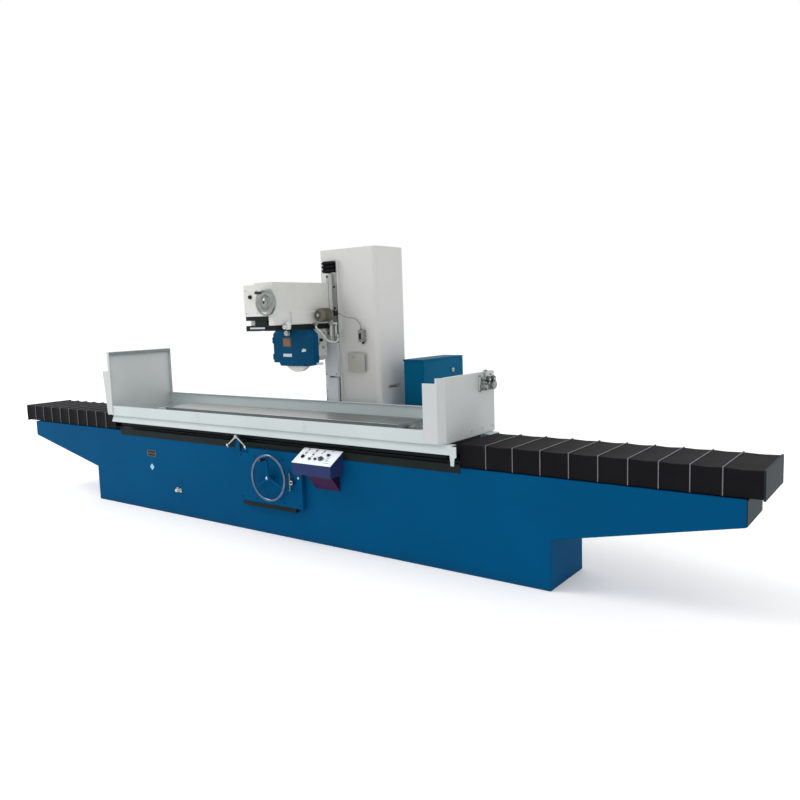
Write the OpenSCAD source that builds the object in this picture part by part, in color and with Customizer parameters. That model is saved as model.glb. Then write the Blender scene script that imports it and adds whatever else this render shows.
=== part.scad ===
// Long-table surface grinder: bed, sliding table, column, saddle and wheelhead.
// Millimetres, +Z up, X along the table, the front of the machine faces -Y.
// The origin is the middle of the bed foot, on the floor.

/* [Bed] */
// length of the foot that stands on the floor
foot_length = 4880; // [4400:20:5400]
// front to back depth of the bed
bed_depth = 500; // [480:10:560]
// height of the top of the bed
bed_height = 720; // [680:5:800]
// height of the foot where the overhangs begin
foot_height = 330; // [240:10:420]
// length of the bed over both overhangs
bed_length = 7110; // [6900:10:7400]
// height of the underside at the tips of the overhangs
tip_height = 569; // [500:5:600]
// front to back depth of the overhangs
tip_depth = 400; // [390:5:430]
// wall thickness of the casting
bed_wall = 35; // [25:1:50]

/* [Table] */
// length of the table over both end guards
table_length = 3770; // [3500:10:3900]
// where the middle of the table stands at rest
table_rest = -185; // [-300:5:100]
// height of the front trough wall above the bed
trough_height = 240; // [220:5:280]
// height of the back trough wall above the bed
back_wall_height = 304; // [260:4:340]
// height of the left guard above the bed
left_guard_height = 751; // [500:1:760]
// height of the right guard above the bed
right_guard_height = 596; // [400:2:720]
// thickness of the sheet metal
sheet = 6; // [4:1:8]
// length of the magnetic chuck
chuck_length = 2690; // [2000:10:2900]
// width of the magnetic chuck
chuck_width = 330; // [280:5:350]

/* [Bellows] */
// height of the folding way covers
bellows_height = 153; // [140:1:158]
// thickness of each rib frame
rib_thick = 6; // [4:1:10]
// number of rib frames on each side
rib_count = 9; // [9:1:9]
// thickness of the bellows cloth
cloth = 3; // [2:0.5:4]

/* [Column] */
// height of the column above the floor
column_top = 2310; // [2200:10:2400]
// width of the column
column_width = 600; // [560:5:680]
// depth of the column
column_depth = 405; // [340:5:480]
// how far behind the bed centre the front of the column stands
column_front = 550; // [540:1:580]

/* [Wheelhead] */
// diameter of the grinding wheel
wheel_diameter = 325; // [300:5:355]
// width of the grinding wheel
wheel_width = 40; // [30:1:42]
// bore of the grinding wheel
wheel_bore = 127; // [100:1:150]
// height of the spindle axis at rest
spindle_height = 1445; // [1400:5:1450]

/* [Controls] */
// diameter of the handwheel on the bed
bed_wheel_diameter = 380; // [280:5:400]
// diameter of the cross feed handwheel
cross_wheel_diameter = 210; // [160:5:220]
// tilt of the control panel
panel_tilt = 30; // [20:1:38]

/* [Cabinet] */
// height of the electrical cabinet
cabinet_height = 1355; // [1100:5:1500]
// width of the electrical cabinet
cabinet_width = 195; // [180:5:300]
// depth of the electrical cabinet
cabinet_depth = 620; // [500:10:700]

/* [Hidden] */
$fn = 64;
few = 32;
tiny = 0.1;
run = 0.05;
// The bed.
front = -bed_depth / 2;
back = bed_depth / 2;
half_foot = foot_length / 2;
half_bed = bed_length / 2;
tip_back = front + tip_depth;
bay_count = 8;
bay_pitch = foot_length / bay_count;
bay_rib = 40;
bed_skin = 40;
way_ends = half_bed - 20;
way_top = bed_height + 32;
vee_y = front + 110;
vee_width = 100;
vee_depth = 28;
flat_y = tip_back - 60;
flat_width = 80;
// The rear base, and the flange with the anchor holes.
base_x0 = -250;
base_x1 = 640;
base_top = 650;
column_back = column_front + column_depth;
base_back = column_back + 55;
flange_thick = 30;
flange_reach = 70;
anchor_r = 14;
anchor_x = 350;
base_mid = (base_x0 + base_x1) / 2;
// The table.
table_x0 = table_rest - table_length / 2;
table_x1 = table_rest + table_length / 2;
table_top = bed_height + 150;
table_front = front - 40;
table_back = back + 150;
slab_front = front + 35;
slab_back = back;
slab_under = way_top + 14;
tray_thick = 5;
tray_top = table_top + tray_thick;
skirt_low = bed_height + 88;
trough_top = bed_height + trough_height;
wall_top = bed_height + back_wall_height;
lip = 22;
chuck_height = 80;
chuck_top = table_top + chuck_height;
chuck_x0 = table_x0 + 550;
chuck_y0 = front + 170;
left_top = bed_height + left_guard_height;
right_top = bed_height + right_guard_height;
guard_low = tray_top;
guard_chamfer = 42;
wing = 158;
wing_drop = 36;
table_end = 50;
leg_end = 98;
// The bellows, their end plates and their rib frames.
bellows_low = bed_height + 8;
bellows_top = bed_height + 8 + bellows_height;
bellows_front = front + 12;
bellows_back = back + 12;
right_end = half_bed + 75;
left_end = -half_bed - 170;
right_start = table_x1 + 92;
left_start = table_x0 - 20;
last_bay = 200;
first_bay = 196;
rib_bow = 30;
right_pitch = (right_end - last_bay - right_start - first_bay) / (rib_count - 1);
left_pitch = (left_start - left_end) / (rib_count + 1);
rib_proud = 5;
rib_bar = 16;
cloth_gap = 1;
plate_thick = 12;
// The column, its slideways and the slide on them.
column_x0 = -70;
column_wall = 45;
column_x1 = column_x0 + column_width;
recess_x1 = 124;
corner_r = 45;
recess_depth = 20;
recess_low = 900;
recess_top = column_top - 96;
rail_front = column_front - 30;
rail_width = 50;
left_rail = -42;
right_rail = 72;
slide_front = rail_front - 40;
slide_low = 1514;
slide_top = 2105;
saddle_top = 2025;
saddle_low = 1685;
saddle_front = front + 67;
saddle_x0 = -260;
saddle_x1 = 70;
step_x = -135;
step_drop = 14;
nose_low = 1759;
// The cross slideway under the saddle.
cross_low = 1642;
cross_front = saddle_front + 8;
cross_back = slide_front - 5;
neck = 80;
head = 140;
spindle_x = -90;
// The wheelhead.
guard_front = 206;
guard_back = 270;
guard_half = 250;
guard_far = 210;
guard_up = 195;
guard_down = 112;
guard_inner = wheel_diameter / 2 + 15;
back_plate = 8;
wheel_front = 214;
wheel_back = wheel_front + wheel_width;
shaft_r = 40;
shaft_back = 335;
shaft_play = 0.06;
house_back = 455;
house_low = 1370;
house_half = 140;
// The way covers on the column.
cover_x0 = -3;
cover_x1 = 133;
cover_front = slide_front;
cover_low = 1227;
lower_x0 = 6;
lower_x1 = 119;
lower_top = 1215;
bellow_low = slide_top + 8;
bellow_folds = 3;
bellow_x0 = -10;
// The cabinet.
cab_x0 = 680;
cab_x1 = cab_x0 + cabinet_width;
cab_y0 = 700;
cab_y1 = cab_y0 + cabinet_depth;
cab_wall = 4;
cab_plinth = 60;
door_thick = 4;
// The controls.
panel_x0 = 404;
panel_x1 = 785;
panel_reach = 147;
panel_back_z = bed_height + 25;
panel_slope = panel_reach / cos(panel_tilt);
panel_front_z = panel_back_z - panel_reach * tan(panel_tilt);
panel_low = 570;
face_thick = 3;
apron_front = front - 40;
apron_x0 = -310;
apron_x1 = 390;
bed_wheel_x = 85;
bed_wheel_z = 494;
cross_wheel_x = 38;
cross_wheel_z = 1866;
start_x = 307;
start_z = 474;
trip_x = -345;
trip_z = 784;
button_r = 11;
button_stem = 7;
button_travel = 5;
// Middle lines of the cable and the coolant hose, as plain route points.
cable_route = [[165, 464, 1768], [190, 466, 1764], [220, 470, 1745], [250, 500, 1728],
  [285, 522, 1722], [325, 524, 1708], [356, 524, 1680], [372, 522, 1650], [376, 520, 1623]];
hose_route = [[96, 270, 1666], [97, 271, 1655], [103, 280, 1641], [112, 295, 1625], [124, 318, 1595],
  [130, 338, 1565], [134, 366, 1541], [142, 402, 1528], [155, 440, 1524], [160, 466, 1536],
  [160, 470, 1556]];
cable_r = 4;
hose_r = 9;
sides = 8;

// A box between two corners.
module block(x0, x1, y0, y1, z0, z1) {
  translate([x0, y0, z0])
    cube([x1 - x0, y1 - y0, z1 - z0]);
}

// A round bar along Y.
module bar_y(x, z, y0, y1, r) {
  translate([x, y1, z])
    rotate([90, 0, 0])
      cylinder(h = y1 - y0, r = r);
}

// A round bar along X.
module bar_x(y, z, x0, x1, r) {
  translate([x0, y, z])
    rotate([0, 90, 0])
      cylinder(h = x1 - x0, r = r);
}

// A round bar along Z.
module bar_z(x, y, z0, z1, r) {
  translate([x, y, z0])
    cylinder(h = z1 - z0, r = r);
}

// An outline drawn in Y and Z, pushed along X.
module along_x(points, x0, x1) {
  translate([x0, 0, 0])
    rotate([90, 0, 90])
      linear_extrude(height = x1 - x0)
        polygon(points);
}

// An outline drawn in X and Z, pushed along Y.
module along_y(points, y0, y1) {
  translate([0, y1, 0])
    rotate([90, 0, 0])
      linear_extrude(height = y1 - y0)
        polygon(points);
}

// A round tube that follows a list of points.
function unit(v) = v / norm(v);
function lead(p, i) = unit(p[min(i + 1, len(p) - 1)] - p[max(i - 1, 0)]);
function across(t) = unit(cross(t, [0.1, 0.2, 1]));
function ring(c, t, r) = [for (k = [0 : sides - 1])
  c + r * (cos(k * 360 / sides) * across(t) + sin(k * 360 / sides) * cross(t, across(t)))];
module sweep(p, r) {
  rings = [for (i = [0 : len(p) - 1]) each ring(p[i], lead(p, i), r)];
  skin = [for (i = [0 : len(p) - 2], k = [0 : sides - 1])
    [i * sides + k, i * sides + (k + 1) % sides, (i + 1) * sides + (k + 1) % sides,
      (i + 1) * sides + k]];
  start = [for (k = [0 : sides - 1]) sides - 1 - k];
  end = [for (k = [0 : sides - 1]) (len(p) - 1) * sides + k];
  polyhedron(points = rings, faces = concat([start], skin, [end]));
}

// The hollow iron bed: a long foot with a tapering overhang at each end.
module bed_casting() {
  outline = [[-half_foot, foot_height], [-half_bed, tip_height], [-half_bed, bed_height],
    [half_bed, bed_height], [half_bed, tip_height], [half_foot, foot_height]];
  color("navy")
    difference() {
      union() {
        along_y(outline, front, tip_back);
        block(-half_foot, half_foot, front, back, 0, bed_height);
      }
      for (i = [0 : bay_count - 1])
        block(-half_foot + i * bay_pitch + bay_rib / 2, -half_foot + (i + 1) * bay_pitch - bay_rib / 2,
          front + bed_wall, back - bed_wall, -1, bed_height - bed_skin);
    }
}

// The ground vee and flat ways on top of the bed.
module way_rails() {
  color("silver") {
    along_x([[vee_y - vee_width / 2, bed_height], [vee_y - vee_width / 2, way_top],
      [vee_y - vee_depth, way_top], [vee_y, way_top - vee_depth], [vee_y + vee_depth, way_top],
      [vee_y + vee_width / 2, way_top], [vee_y + vee_width / 2, bed_height]], -way_ends, way_ends);
    block(-way_ends, way_ends, flat_y - flat_width / 2, flat_y + flat_width / 2, bed_height, way_top);
  }
}

// The base behind the bed that carries the column, with two anchor holes.
module rear_base() {
  color("navy")
    difference() {
      union() {
        block(base_x0, base_x1, back, base_back, 0, base_top);
        block(base_x0, base_x1, base_back, base_back + flange_reach, 0, flange_thick);
      }
      block(base_x0 + bed_wall, base_x1 - bed_wall, back + bed_wall, base_back - bed_wall, -1,
        base_top - bed_skin);
      for (side = [-1, 1])
        bar_z(base_mid + side * anchor_x, base_back + flange_reach / 2, -1, flange_thick + 1, anchor_r);
    }
}

// The column, recessed at its left for the slideways, with a grip slot in its right side.
module column() {
  slot_y = column_front + 130;
  slot_z = 1115;
  panel_in = 60;
  color("lightgrey")
    difference() {
      union() {
        block(column_x0, column_x1 - corner_r, column_front, column_back, base_top, column_top);
        block(column_x0, column_x1, column_front + corner_r, column_back - corner_r, base_top, column_top);
        for (y = [column_front + corner_r, column_back - corner_r])
          bar_z(column_x1 - corner_r, y, base_top, column_top, corner_r);
        block(recess_x1, recess_x1 + 12, rail_front + 3, column_front + 1, recess_low, recess_top);
      }
      block(column_x0 - 1, recess_x1, column_front - 1, column_front + recess_depth, recess_low,
        recess_top);
      block(column_x0 + column_wall, column_x1 - column_wall, column_front + column_wall,
        column_back - column_wall, base_top - 1, column_top - column_wall);
      block(column_x1 - 30, column_x1 + 1, slot_y, slot_y + 165, slot_z, slot_z + 26);
      block(column_x0 + panel_in, column_x1 - panel_in, column_back - 4, column_back + 1,
        base_top + 120, column_top - 120);
    }
}

// Two ground slideways let into the column, with their screws.
module column_ways() {
  screw_pitch = 180;
  color("silver") {
    for (x = [left_rail, right_rail])
      difference() {
        block(x, x + rail_width, rail_front, column_front + recess_depth, 1000, recess_top - 12);
        for (z = [1090 : screw_pitch : 1990])
          bar_y(x + rail_width / 2, z, rail_front - 1, rail_front + 9, 11);
      }
  }
}

// The fixed lower section of the column's telescopic cover.
module lower_way_cover() {
  color("gainsboro")
    difference() {
      block(lower_x0, lower_x1, cover_front + 9, rail_front - 3, base_top, lower_top);
      block(lower_x0 + 3, lower_x1 - 3, cover_front + 12, rail_front, base_top - 1, lower_top + 1);
    }
}

// Blank plates, the oil sight glass and the drain plug.
module fittings() {
  color("silver") {
    block(221, 405, column_front - 3, column_front, 1268, 1427);
    block(-1608, -1477, front - 3, front, 507, 568);
    translate([-1545, front, 410])
      rotate([90, 45, 0])
        linear_extrude(height = 3)
          square(44, center = true);
    bar_y(-1189, 230, front - 26, front, 16);
    bar_y(-1150, 230, front - 10, front, 20);
    bar_y(358, 509, apron_front - 8, apron_front, 8);
  }
}

// The junction box on the column, with its lid and two glands.
module junction_box() {
  color("dimgrey") {
    block(361, 405, column_front - 44, column_front, 1523, 1620);
    block(358, 408, column_front - 50, column_front - 44, 1520, 1623);
    bar_z(390, column_front - 24, 1498, 1523, 11);
  }
}

// The electrical cabinet, open on its right side behind the door.
module cabinet() {
  color("navy")
    difference() {
      union() {
        block(cab_x0 + 20, cab_x1 - 20, cab_y0 + 20, cab_y1 - 20, 0, cab_plinth);
        block(cab_x0, cab_x1, cab_y0, cab_y1, cab_plinth, cabinet_height);
        block(cab_x0 - 8, cab_x1, cab_y0 - 8, cab_y1 + 8, cabinet_height - 4, cabinet_height + 8);
      }
      block(cab_x0 + cab_wall, cab_x1 + 1, cab_y0 + cab_wall, cab_y1 - cab_wall,
        cab_plinth + cab_wall, cabinet_height - 20);
    }
}

// The cabinet door, hinged at its front edge.
module cabinet_door() {
  lock_y = 1141;
  lock_z = 1248;
  color("navy") {
    difference() {
      block(cab_x1 + 1, cab_x1 + 1 + door_thick, cab_y0 + 2, cab_y1 - 2, cab_plinth + 6,
        cabinet_height - 12);
      bar_x(lock_y, lock_z, cab_x1, cab_x1 + 10, 8.06);
      for (k = [0 : 4])
        block(cab_x1, cab_x1 + 10, cab_y0 + 180, cab_y0 + 360, 220 + k * 34, 230 + k * 34);
    }
    for (z = [200, cabinet_height - 200])
      bar_z(cab_x1 + 7, cab_y0 - 5, z, z + 80, 5);
    for (z = [200, cabinet_height - 200])
      block(cab_x1 + 2, cab_x1 + 1 + door_thick, cab_y0 - 5, cab_y0 + 4, z, z + 80);
  }
}

// The quarter turn lock in the door.
module door_lock() {
  lock_y = 1141;
  lock_z = 1248;
  color("silver") {
    difference() {
      union() {
        bar_x(lock_y, lock_z, cab_x1 - 8, cab_x1 + 5.1, 8);
        bar_x(lock_y, lock_z, cab_x1 + 5.1, cab_x1 + 15, 17);
      }
      block(cab_x1 + 11, cab_x1 + 16, lock_y - 2, lock_y + 2, lock_z - 12, lock_z + 12);
    }
    block(cab_x1 - 11, cab_x1 - 8, lock_y - 8, lock_y + 40, lock_z - 8, lock_z + 8);
  }
}

// The gear case on the front of the bed that carries the handwheel and the lever.
module apron() {
  boss = 8;
  low = 262;
  high = 700;
  cut = 40;
  color("navy")
    difference() {
      union() {
        along_y([[apron_x0, low], [apron_x1, low], [apron_x1, high - cut], [apron_x1 - cut, high],
          [apron_x0 + cut, high], [apron_x0, high - cut]], apron_front, front);
        bar_y(bed_wheel_x, bed_wheel_z, apron_front - boss, apron_front, 55);
        bar_y(start_x, start_z, apron_front - boss, apron_front, 26);
        block(trip_x - 24, trip_x + 24, front - 14, front, trip_z - 130, trip_z + 16);
      }
      bar_y(trip_x, trip_z, front - 15, front + 1, 9.06);
      bar_y(bed_wheel_x, bed_wheel_z, apron_front - boss - 1, front - 4, 15.06);
      bar_y(start_x, start_z, apron_front - boss - 1, front - 4, 10.06);
      block(apron_x0 - 1, trip_x + 160, apron_front - 1, front - 15, 660, high + 1);
    }
}

// Places children on the sloping panel: u to the right, v down the slope, z out of it.
module on_panel(u, v, out) {
  translate([panel_x0, front, panel_back_z])
    rotate([panel_tilt, 0, 0])
      translate([u * (panel_x1 - panel_x0), -v * panel_slope, out])
        children();
}

// Where each push button, knob and lamp sits on the panel.
estop_at = [0.65, 0.64];
selector_at = [0.155, 0.6];
button_a_at = [0.37, 0.7];
button_b_at = [0.51, 0.68];
button_c_at = [0.76, 0.36];
lamp_spots = [[0.16, 0.14], [0.38, 0.16], [0.57, 0.16], [0.16, 0.36], [0.37, 0.4], [0.8, 0.68]];

// The desk that carries the controls, and the bracket below it.
module control_box() {
  color("slateblue") {
    difference() {
      along_x([[front, panel_low], [front, panel_back_z], [front - panel_reach, panel_front_z],
        [front - panel_reach, panel_low]], panel_x0, panel_x1);
      for (at = [estop_at, selector_at, button_a_at, button_b_at, button_c_at])
        on_panel(at[0], at[1], -24)
          cylinder(h = 26, r = button_stem + 0.06);
    }
    along_x([[front, 440], [front, panel_low], [front - 90, panel_low]], 500, 745);
  }
}

// The pale face plate of the control desk.
module control_face() {
  color("white")
    difference() {
      on_panel(0, 1, tiny)
        translate([-3, -3, 0])
          cube([panel_x1 - panel_x0 + 6, panel_slope + 3, face_thick]);
      for (at = [estop_at, selector_at, button_a_at, button_b_at, button_c_at])
        on_panel(at[0], at[1], -1)
          cylinder(h = face_thick + 2, r = button_stem + 0.06);
    }
}

// The pilot lamps on the panel.
module indicator_lamps() {
  color("orange")
    for (at = lamp_spots)
      on_panel(at[0], at[1], face_thick + tiny) {
        cylinder(h = 4, r = 9);
        translate([0, 0, 4])
          cylinder(h = 5, r1 = 7, r2 = 5);
      }
}

// A push button: a cap on a stem that runs in the desk.
module push(at, r, high) {
  on_panel(at[0], at[1], face_thick + button_travel + 1) {
    cylinder(h = high, r = r);
    translate([0, 0, -18])
      cylinder(h = 18, r = button_stem);
  }
}

// The stop button, with a wide head.
module estop() {
  color("black") {
    push(estop_at, 19, 9);
    on_panel(estop_at[0], estop_at[1], face_thick + button_travel + 10)
      cylinder(h = 4, r1 = 19, r2 = 14);
  }
}

// The rotary switch, with a finger bar.
module selector() {
  color("black")
    on_panel(selector_at[0], selector_at[1], face_thick + tiny) {
      translate([0, 0, -18])
        cylinder(h = 18, r = button_stem);
      cylinder(h = 6, r = 16);
      translate([-4, -15, 5])
        cube([8, 30, 12]);
    }
}

module button_a() {
  color("green")
    push(button_a_at, button_r, 6);
}

module button_b() {
  color("black")
    push(button_b_at, button_r, 6);
}

module button_c() {
  color("black")
    push(button_c_at, button_r + 2, 6);
}

// The end plates of the bellows, each on a tray that reaches out from the bed.
module bellows_end_plates() {
  color("dimgrey") {
    block(right_end, right_end + plate_thick, bellows_front - 4, bellows_back + 4, bed_height,
      bellows_top + 4);
    block(half_bed - 15, right_end, bellows_front + 30, tip_back - 20, bed_height, bed_height + 5);
    block(left_end - plate_thick, left_end, bellows_front - 4, bellows_back + 4, bed_height,
      bellows_top + 4);
    block(left_end, -half_bed + 15, bellows_front + 30, tip_back - 20, bed_height, bed_height + 5);
  }
}

// One stretch of cloth, folded over the ways, from x0 to x1.
module cloth_bay(x0, x1) {
  along_x([[bellows_front, bellows_low], [bellows_front, bellows_top], [bellows_back, bellows_top],
    [bellows_back, bellows_low], [bellows_back - cloth, bellows_low],
    [bellows_back - cloth, bellows_top - cloth], [bellows_front + cloth, bellows_top - cloth],
    [bellows_front + cloth, bellows_low]], x0, x1);
}

// Middle of rib number k, counted from the end of the bed.
function right_rib(k) = k == 0 ? right_end : k > rib_count ? right_start :
  right_end - last_bay - (k - 1) * right_pitch + rib_bow * sin(180 * (k - 1) / (rib_count - 1));
function left_rib(k) = left_end + k * left_pitch;

module bellows_left() {
  color("black")
    for (k = [0 : rib_count])
      cloth_bay(left_rib(k) + rib_thick / 2 + cloth_gap, left_rib(k + 1) - rib_thick / 2 - cloth_gap);
}

module bellows_right() {
  color("black")
    for (k = [0 : rib_count])
      cloth_bay(right_rib(k + 1) + rib_thick / 2 + cloth_gap, right_rib(k) - rib_thick / 2 - cloth_gap);
}

// One rib frame: a hoop that stands over the ways.
module hoop(x) {
  y0 = bellows_front - rib_proud;
  y1 = bellows_back + rib_proud;
  top = bellows_top + rib_proud;
  along_x([[y0, bellows_low], [y0, top], [y1, top], [y1, bellows_low], [y1 - rib_bar, bellows_low],
    [y1 - rib_bar, top - rib_bar], [y0 + rib_bar, top - rib_bar], [y0 + rib_bar, bellows_low]],
    x - rib_thick / 2, x + rib_thick / 2);
}

// The pair of hoops, one on each side, that keep the same share of the travel.
module rib_pair(k) {
  color("lightgrey") {
    hoop(right_rib(k));
    hoop(left_rib(k));
  }
}
module rib_frame_1() { rib_pair(1); }
module rib_frame_2() { rib_pair(2); }
module rib_frame_3() { rib_pair(3); }
module rib_frame_4() { rib_pair(4); }
module rib_frame_5() { rib_pair(5); }
module rib_frame_6() { rib_pair(6); }
module rib_frame_7() { rib_pair(7); }
module rib_frame_8() { rib_pair(8); }
module rib_frame_9() { rib_pair(9); }

// The cloth folds between the slide and the head of the column.
module column_bellows() {
  fold = (recess_top - 4 - bellow_low) / bellow_folds;
  color("black")
    for (k = [0 : bellow_folds - 1])
      block(bellow_x0, recess_x1 - 4, rail_front - 26, rail_front - 2,
        bellow_low + k * fold + 4, bellow_low + (k + 1) * fold - 8);
}

// The iron table: a slab on a vee runner and a flat runner.
module table_casting() {
  rise = vee_depth - 4;
  inset = 30;
  color("dimgrey") {
    along_x([[slab_front, slab_under], [slab_front, table_top], [slab_back, table_top],
      [slab_back, slab_under], [flat_y + flat_width / 2, slab_under],
      [flat_y + flat_width / 2, way_top + run], [flat_y - flat_width / 2, way_top + run],
      [flat_y - flat_width / 2, slab_under], [vee_y + rise, slab_under],
      [vee_y + rise, way_top - vee_depth + rise + 2 * run], [vee_y + 4, way_top - vee_depth + 4 + 2 * run],
      [vee_y - 4, way_top - vee_depth + 4 + 2 * run],
      [vee_y - rise, way_top - vee_depth + rise + 2 * run], [vee_y - rise, slab_under]],
      table_x0 + inset, table_x1 - inset);
  }
}

// The electromagnetic chuck bolted along the table.
module magnetic_chuck() {
  color("grey")
    difference() {
      block(chuck_x0, chuck_x0 + chuck_length, chuck_y0, chuck_y0 + chuck_width, table_top, chuck_top);
      for (y = [chuck_y0, chuck_y0 + chuck_width])
        block(chuck_x0 - 1, chuck_x0 + chuck_length + 1, y - 8, y + 8, table_top + 14, table_top + 30);
    }
}

// The sloping skirts that hang along the front and the back of the table.
module table_skirt() {
  toe = 20;
  color("lightgrey") {
    along_x([[table_front + toe, table_top - tiny], [table_front, skirt_low + 6], [table_front, skirt_low],
      [table_front + sheet, skirt_low], [table_front + toe + sheet, table_top - tiny - 6],
      [slab_front, table_top - tiny - 6], [slab_front, table_top - tiny]], table_x0 + 2,
      table_x1 + table_end);
    along_x([[table_back - toe, table_top - tiny], [table_back, skirt_low + 6], [table_back, skirt_low],
      [table_back - sheet, skirt_low], [table_back - toe - sheet, table_top - tiny - 6],
      [slab_back, table_top - tiny - 6], [slab_back, table_top - tiny]], table_x0 + 2,
      table_x1 + table_end);
    along_y([[table_x1 + table_end - 5, table_top - 2], [table_x1 + leg_end, table_top - 2],
      [table_x1 + leg_end, skirt_low - 10], [table_x1 + leg_end - 14, skirt_low - 18],
      [table_x1 + leg_end - 20, skirt_low - 70], [table_x1 + leg_end - 44, skirt_low - 70],
      [table_x1 + table_end - 5, skirt_low + 30]], table_front - sheet, table_front - tiny);
  }
}

// The sheet metal trough around the chuck: floor, front wall and back wall.
module coolant_trough() {
  wall_end = table_x1 - guard_chamfer - 20;
  color("lightgrey")
    difference() {
      union() {
        block(table_x0 + sheet, table_x1 - sheet, table_front, table_back, table_top, tray_top);
        block(table_x0 + sheet, wall_end, table_front, table_front + sheet, tray_top, trough_top);
        block(table_x0 + sheet, wall_end, table_front, table_front + lip, trough_top - sheet, trough_top);
        block(table_x0 + sheet, table_x1 - sheet, table_back - sheet, table_back, tray_top, wall_top);
        block(table_x0 + sheet, table_x1 - sheet, table_back - lip, table_back, wall_top - sheet,
          wall_top);
      }
      block(chuck_x0 - 1, chuck_x0 + chuck_length + 1, chuck_y0 - 1, chuck_y0 + chuck_width + 1,
        table_top - 1, tray_top + 1);
    }
}

// The tall guard at the left end: a folded sheet with a return along each edge.
module guard_left() {
  edge = 30;
  lean = 90;
  foot = 50;
  color("lightgrey") {
    difference() {
      block(table_x0, table_x0 + edge, table_front - tiny - sheet, table_back + sheet, guard_low + tiny,
        left_top);
      block(table_x0 + sheet, table_x0 + edge + 1, table_front - tiny, table_back, guard_low - 1,
        left_top - sheet);
      block(table_x0 - 1, table_x0 + edge + 1, table_front - tiny - sheet - 1, table_back + sheet + 1,
        guard_low - 1, guard_low + 1);
    }
    along_y([[table_x0 - foot, guard_low + tiny], [table_x0, guard_low + tiny], [table_x0, left_top - 182],
      [table_x0 - lean, left_top - 182]], table_front - sheet - tiny, table_front - tiny);
    along_y([[table_x0 - lean, left_top - 188], [table_x0, left_top - 188], [table_x0, left_top - 182],
      [table_x0 - lean, left_top - 182]], table_front - tiny, table_front + 40);
  }
}

// The low guard at the right end, with a chamfered corner and a lower wing along the front.
module guard_right() {
  x1 = table_x1;
  y0 = table_front - tiny - sheet;
  c = guard_chamfer;
  color("lightgrey") {
    translate([0, 0, guard_low + tiny])
      linear_extrude(height = right_top - guard_low - tiny)
        polygon([[x1, table_back + sheet], [x1, y0 + c], [x1 - c, y0], [x1 - c - 14, y0],
          [x1 - c - 14, y0 + sheet], [x1 - c - 3, y0 + sheet], [x1 - sheet, y0 + c + 3],
          [x1 - sheet, table_back], [x1 - 90, table_back], [x1 - 90, table_back + sheet]]);
    block(x1 - wing, x1 - c - 14, y0, y0 + sheet, guard_low + tiny, right_top - wing_drop);
    block(x1 - sheet - lip, x1 - sheet, y0 + c + 6, table_back, right_top - sheet, right_top);
  }
}

// The pipework at the back corner of the right guard.
manifold_y = 252;
valve_z = bed_height + 548;
knob_gap = 66;
module coolant_manifold() {
  color("silver")
    difference() {
      union() {
        block(table_x1, table_x1 + 10, manifold_y - 76, manifold_y + 96, valve_z - 92, valve_z + 34);
        for (side = [-1, 1])
          bar_x(manifold_y + side * knob_gap / 2, valve_z, table_x1 + 10, table_x1 + 46, 17);
        bar_x(manifold_y + 74, valve_z - 47, table_x1 + 10, table_x1 + 58, 39);
        bar_x(manifold_y - 36, valve_z - 55, table_x1 + 10, table_x1 + 50, 28);
        block(table_x1 + 10, table_x1 + 34, manifold_y - 46, manifold_y + 62, valve_z - 60, valve_z - 38);
        for (side = [-1, 1])
          bar_z(table_x1 + 24, manifold_y + side * knob_gap / 2, valve_z - 50, valve_z, 10);
        bar_z(table_x1 + 22, manifold_y + 2, valve_z - 50, valve_z + 66, 9);
      }
      for (side = [-1, 1])
        bar_x(manifold_y + side * knob_gap / 2, valve_z, table_x1 + 30, table_x1 + 47, 6.06);
    }
}

// A ribbed valve knob on its stem.
module valve_knob(y) {
  color("black") {
    bar_x(y, valve_z, table_x1 + 32, table_x1 + 46.5, 6);
    difference() {
      bar_x(y, valve_z, table_x1 + 46.5, table_x1 + 74, 21);
      for (k = [0 : 7])
        translate([0, y, valve_z])
          rotate([k * 45, 0, 0])
            bar_x(23, 0, table_x1 + 46, table_x1 + 75, 4);
    }
  }
}
module valve_knob_a() { valve_knob(manifold_y - knob_gap / 2); }
module valve_knob_b() { valve_knob(manifold_y + knob_gap / 2); }

// The slide that climbs the column, with a tongue between the slideways.
module saddle_slide() {
  tongue = rail_front + 22;
  side = run;
  color("gainsboro") {
    block(left_rail, right_rail + 4, slide_front, rail_front - run, slide_low, saddle_top - 10);
    block(2, right_rail + 4, slide_front, rail_front - run, saddle_top - 10, slide_top);
    block(left_rail + rail_width + side, right_rail - side, rail_front - run, tongue, slide_low, slide_top);
  }
}

// The saddle box, cantilevered forward from the slide.
module saddle_box() {
  bulge_low = 1690;
  bulge_high = 1795;
  color("lightgrey")
    difference() {
      union() {
        block(step_x, saddle_x1, saddle_front, slide_front, saddle_low, saddle_top);
        block(saddle_x0, step_x, saddle_front, slide_front - 200, saddle_low, saddle_top - step_drop);
        along_y([[saddle_x1, bulge_low], [saddle_x1 + 12, bulge_low], [saddle_x1 + 12, bulge_high - 14],
          [saddle_x1, bulge_high]], saddle_front + 190, slide_front - 12);
        bar_y(cross_wheel_x, cross_wheel_z, saddle_front - 22, saddle_front, 36);
      }
      block(saddle_x0 - 1, 12, saddle_front - 1, saddle_front + 60, saddle_low - 1, nose_low);
      bar_y(cross_wheel_x, cross_wheel_z, saddle_front - 23, saddle_front + 40, 11.06);
    }
}

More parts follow.
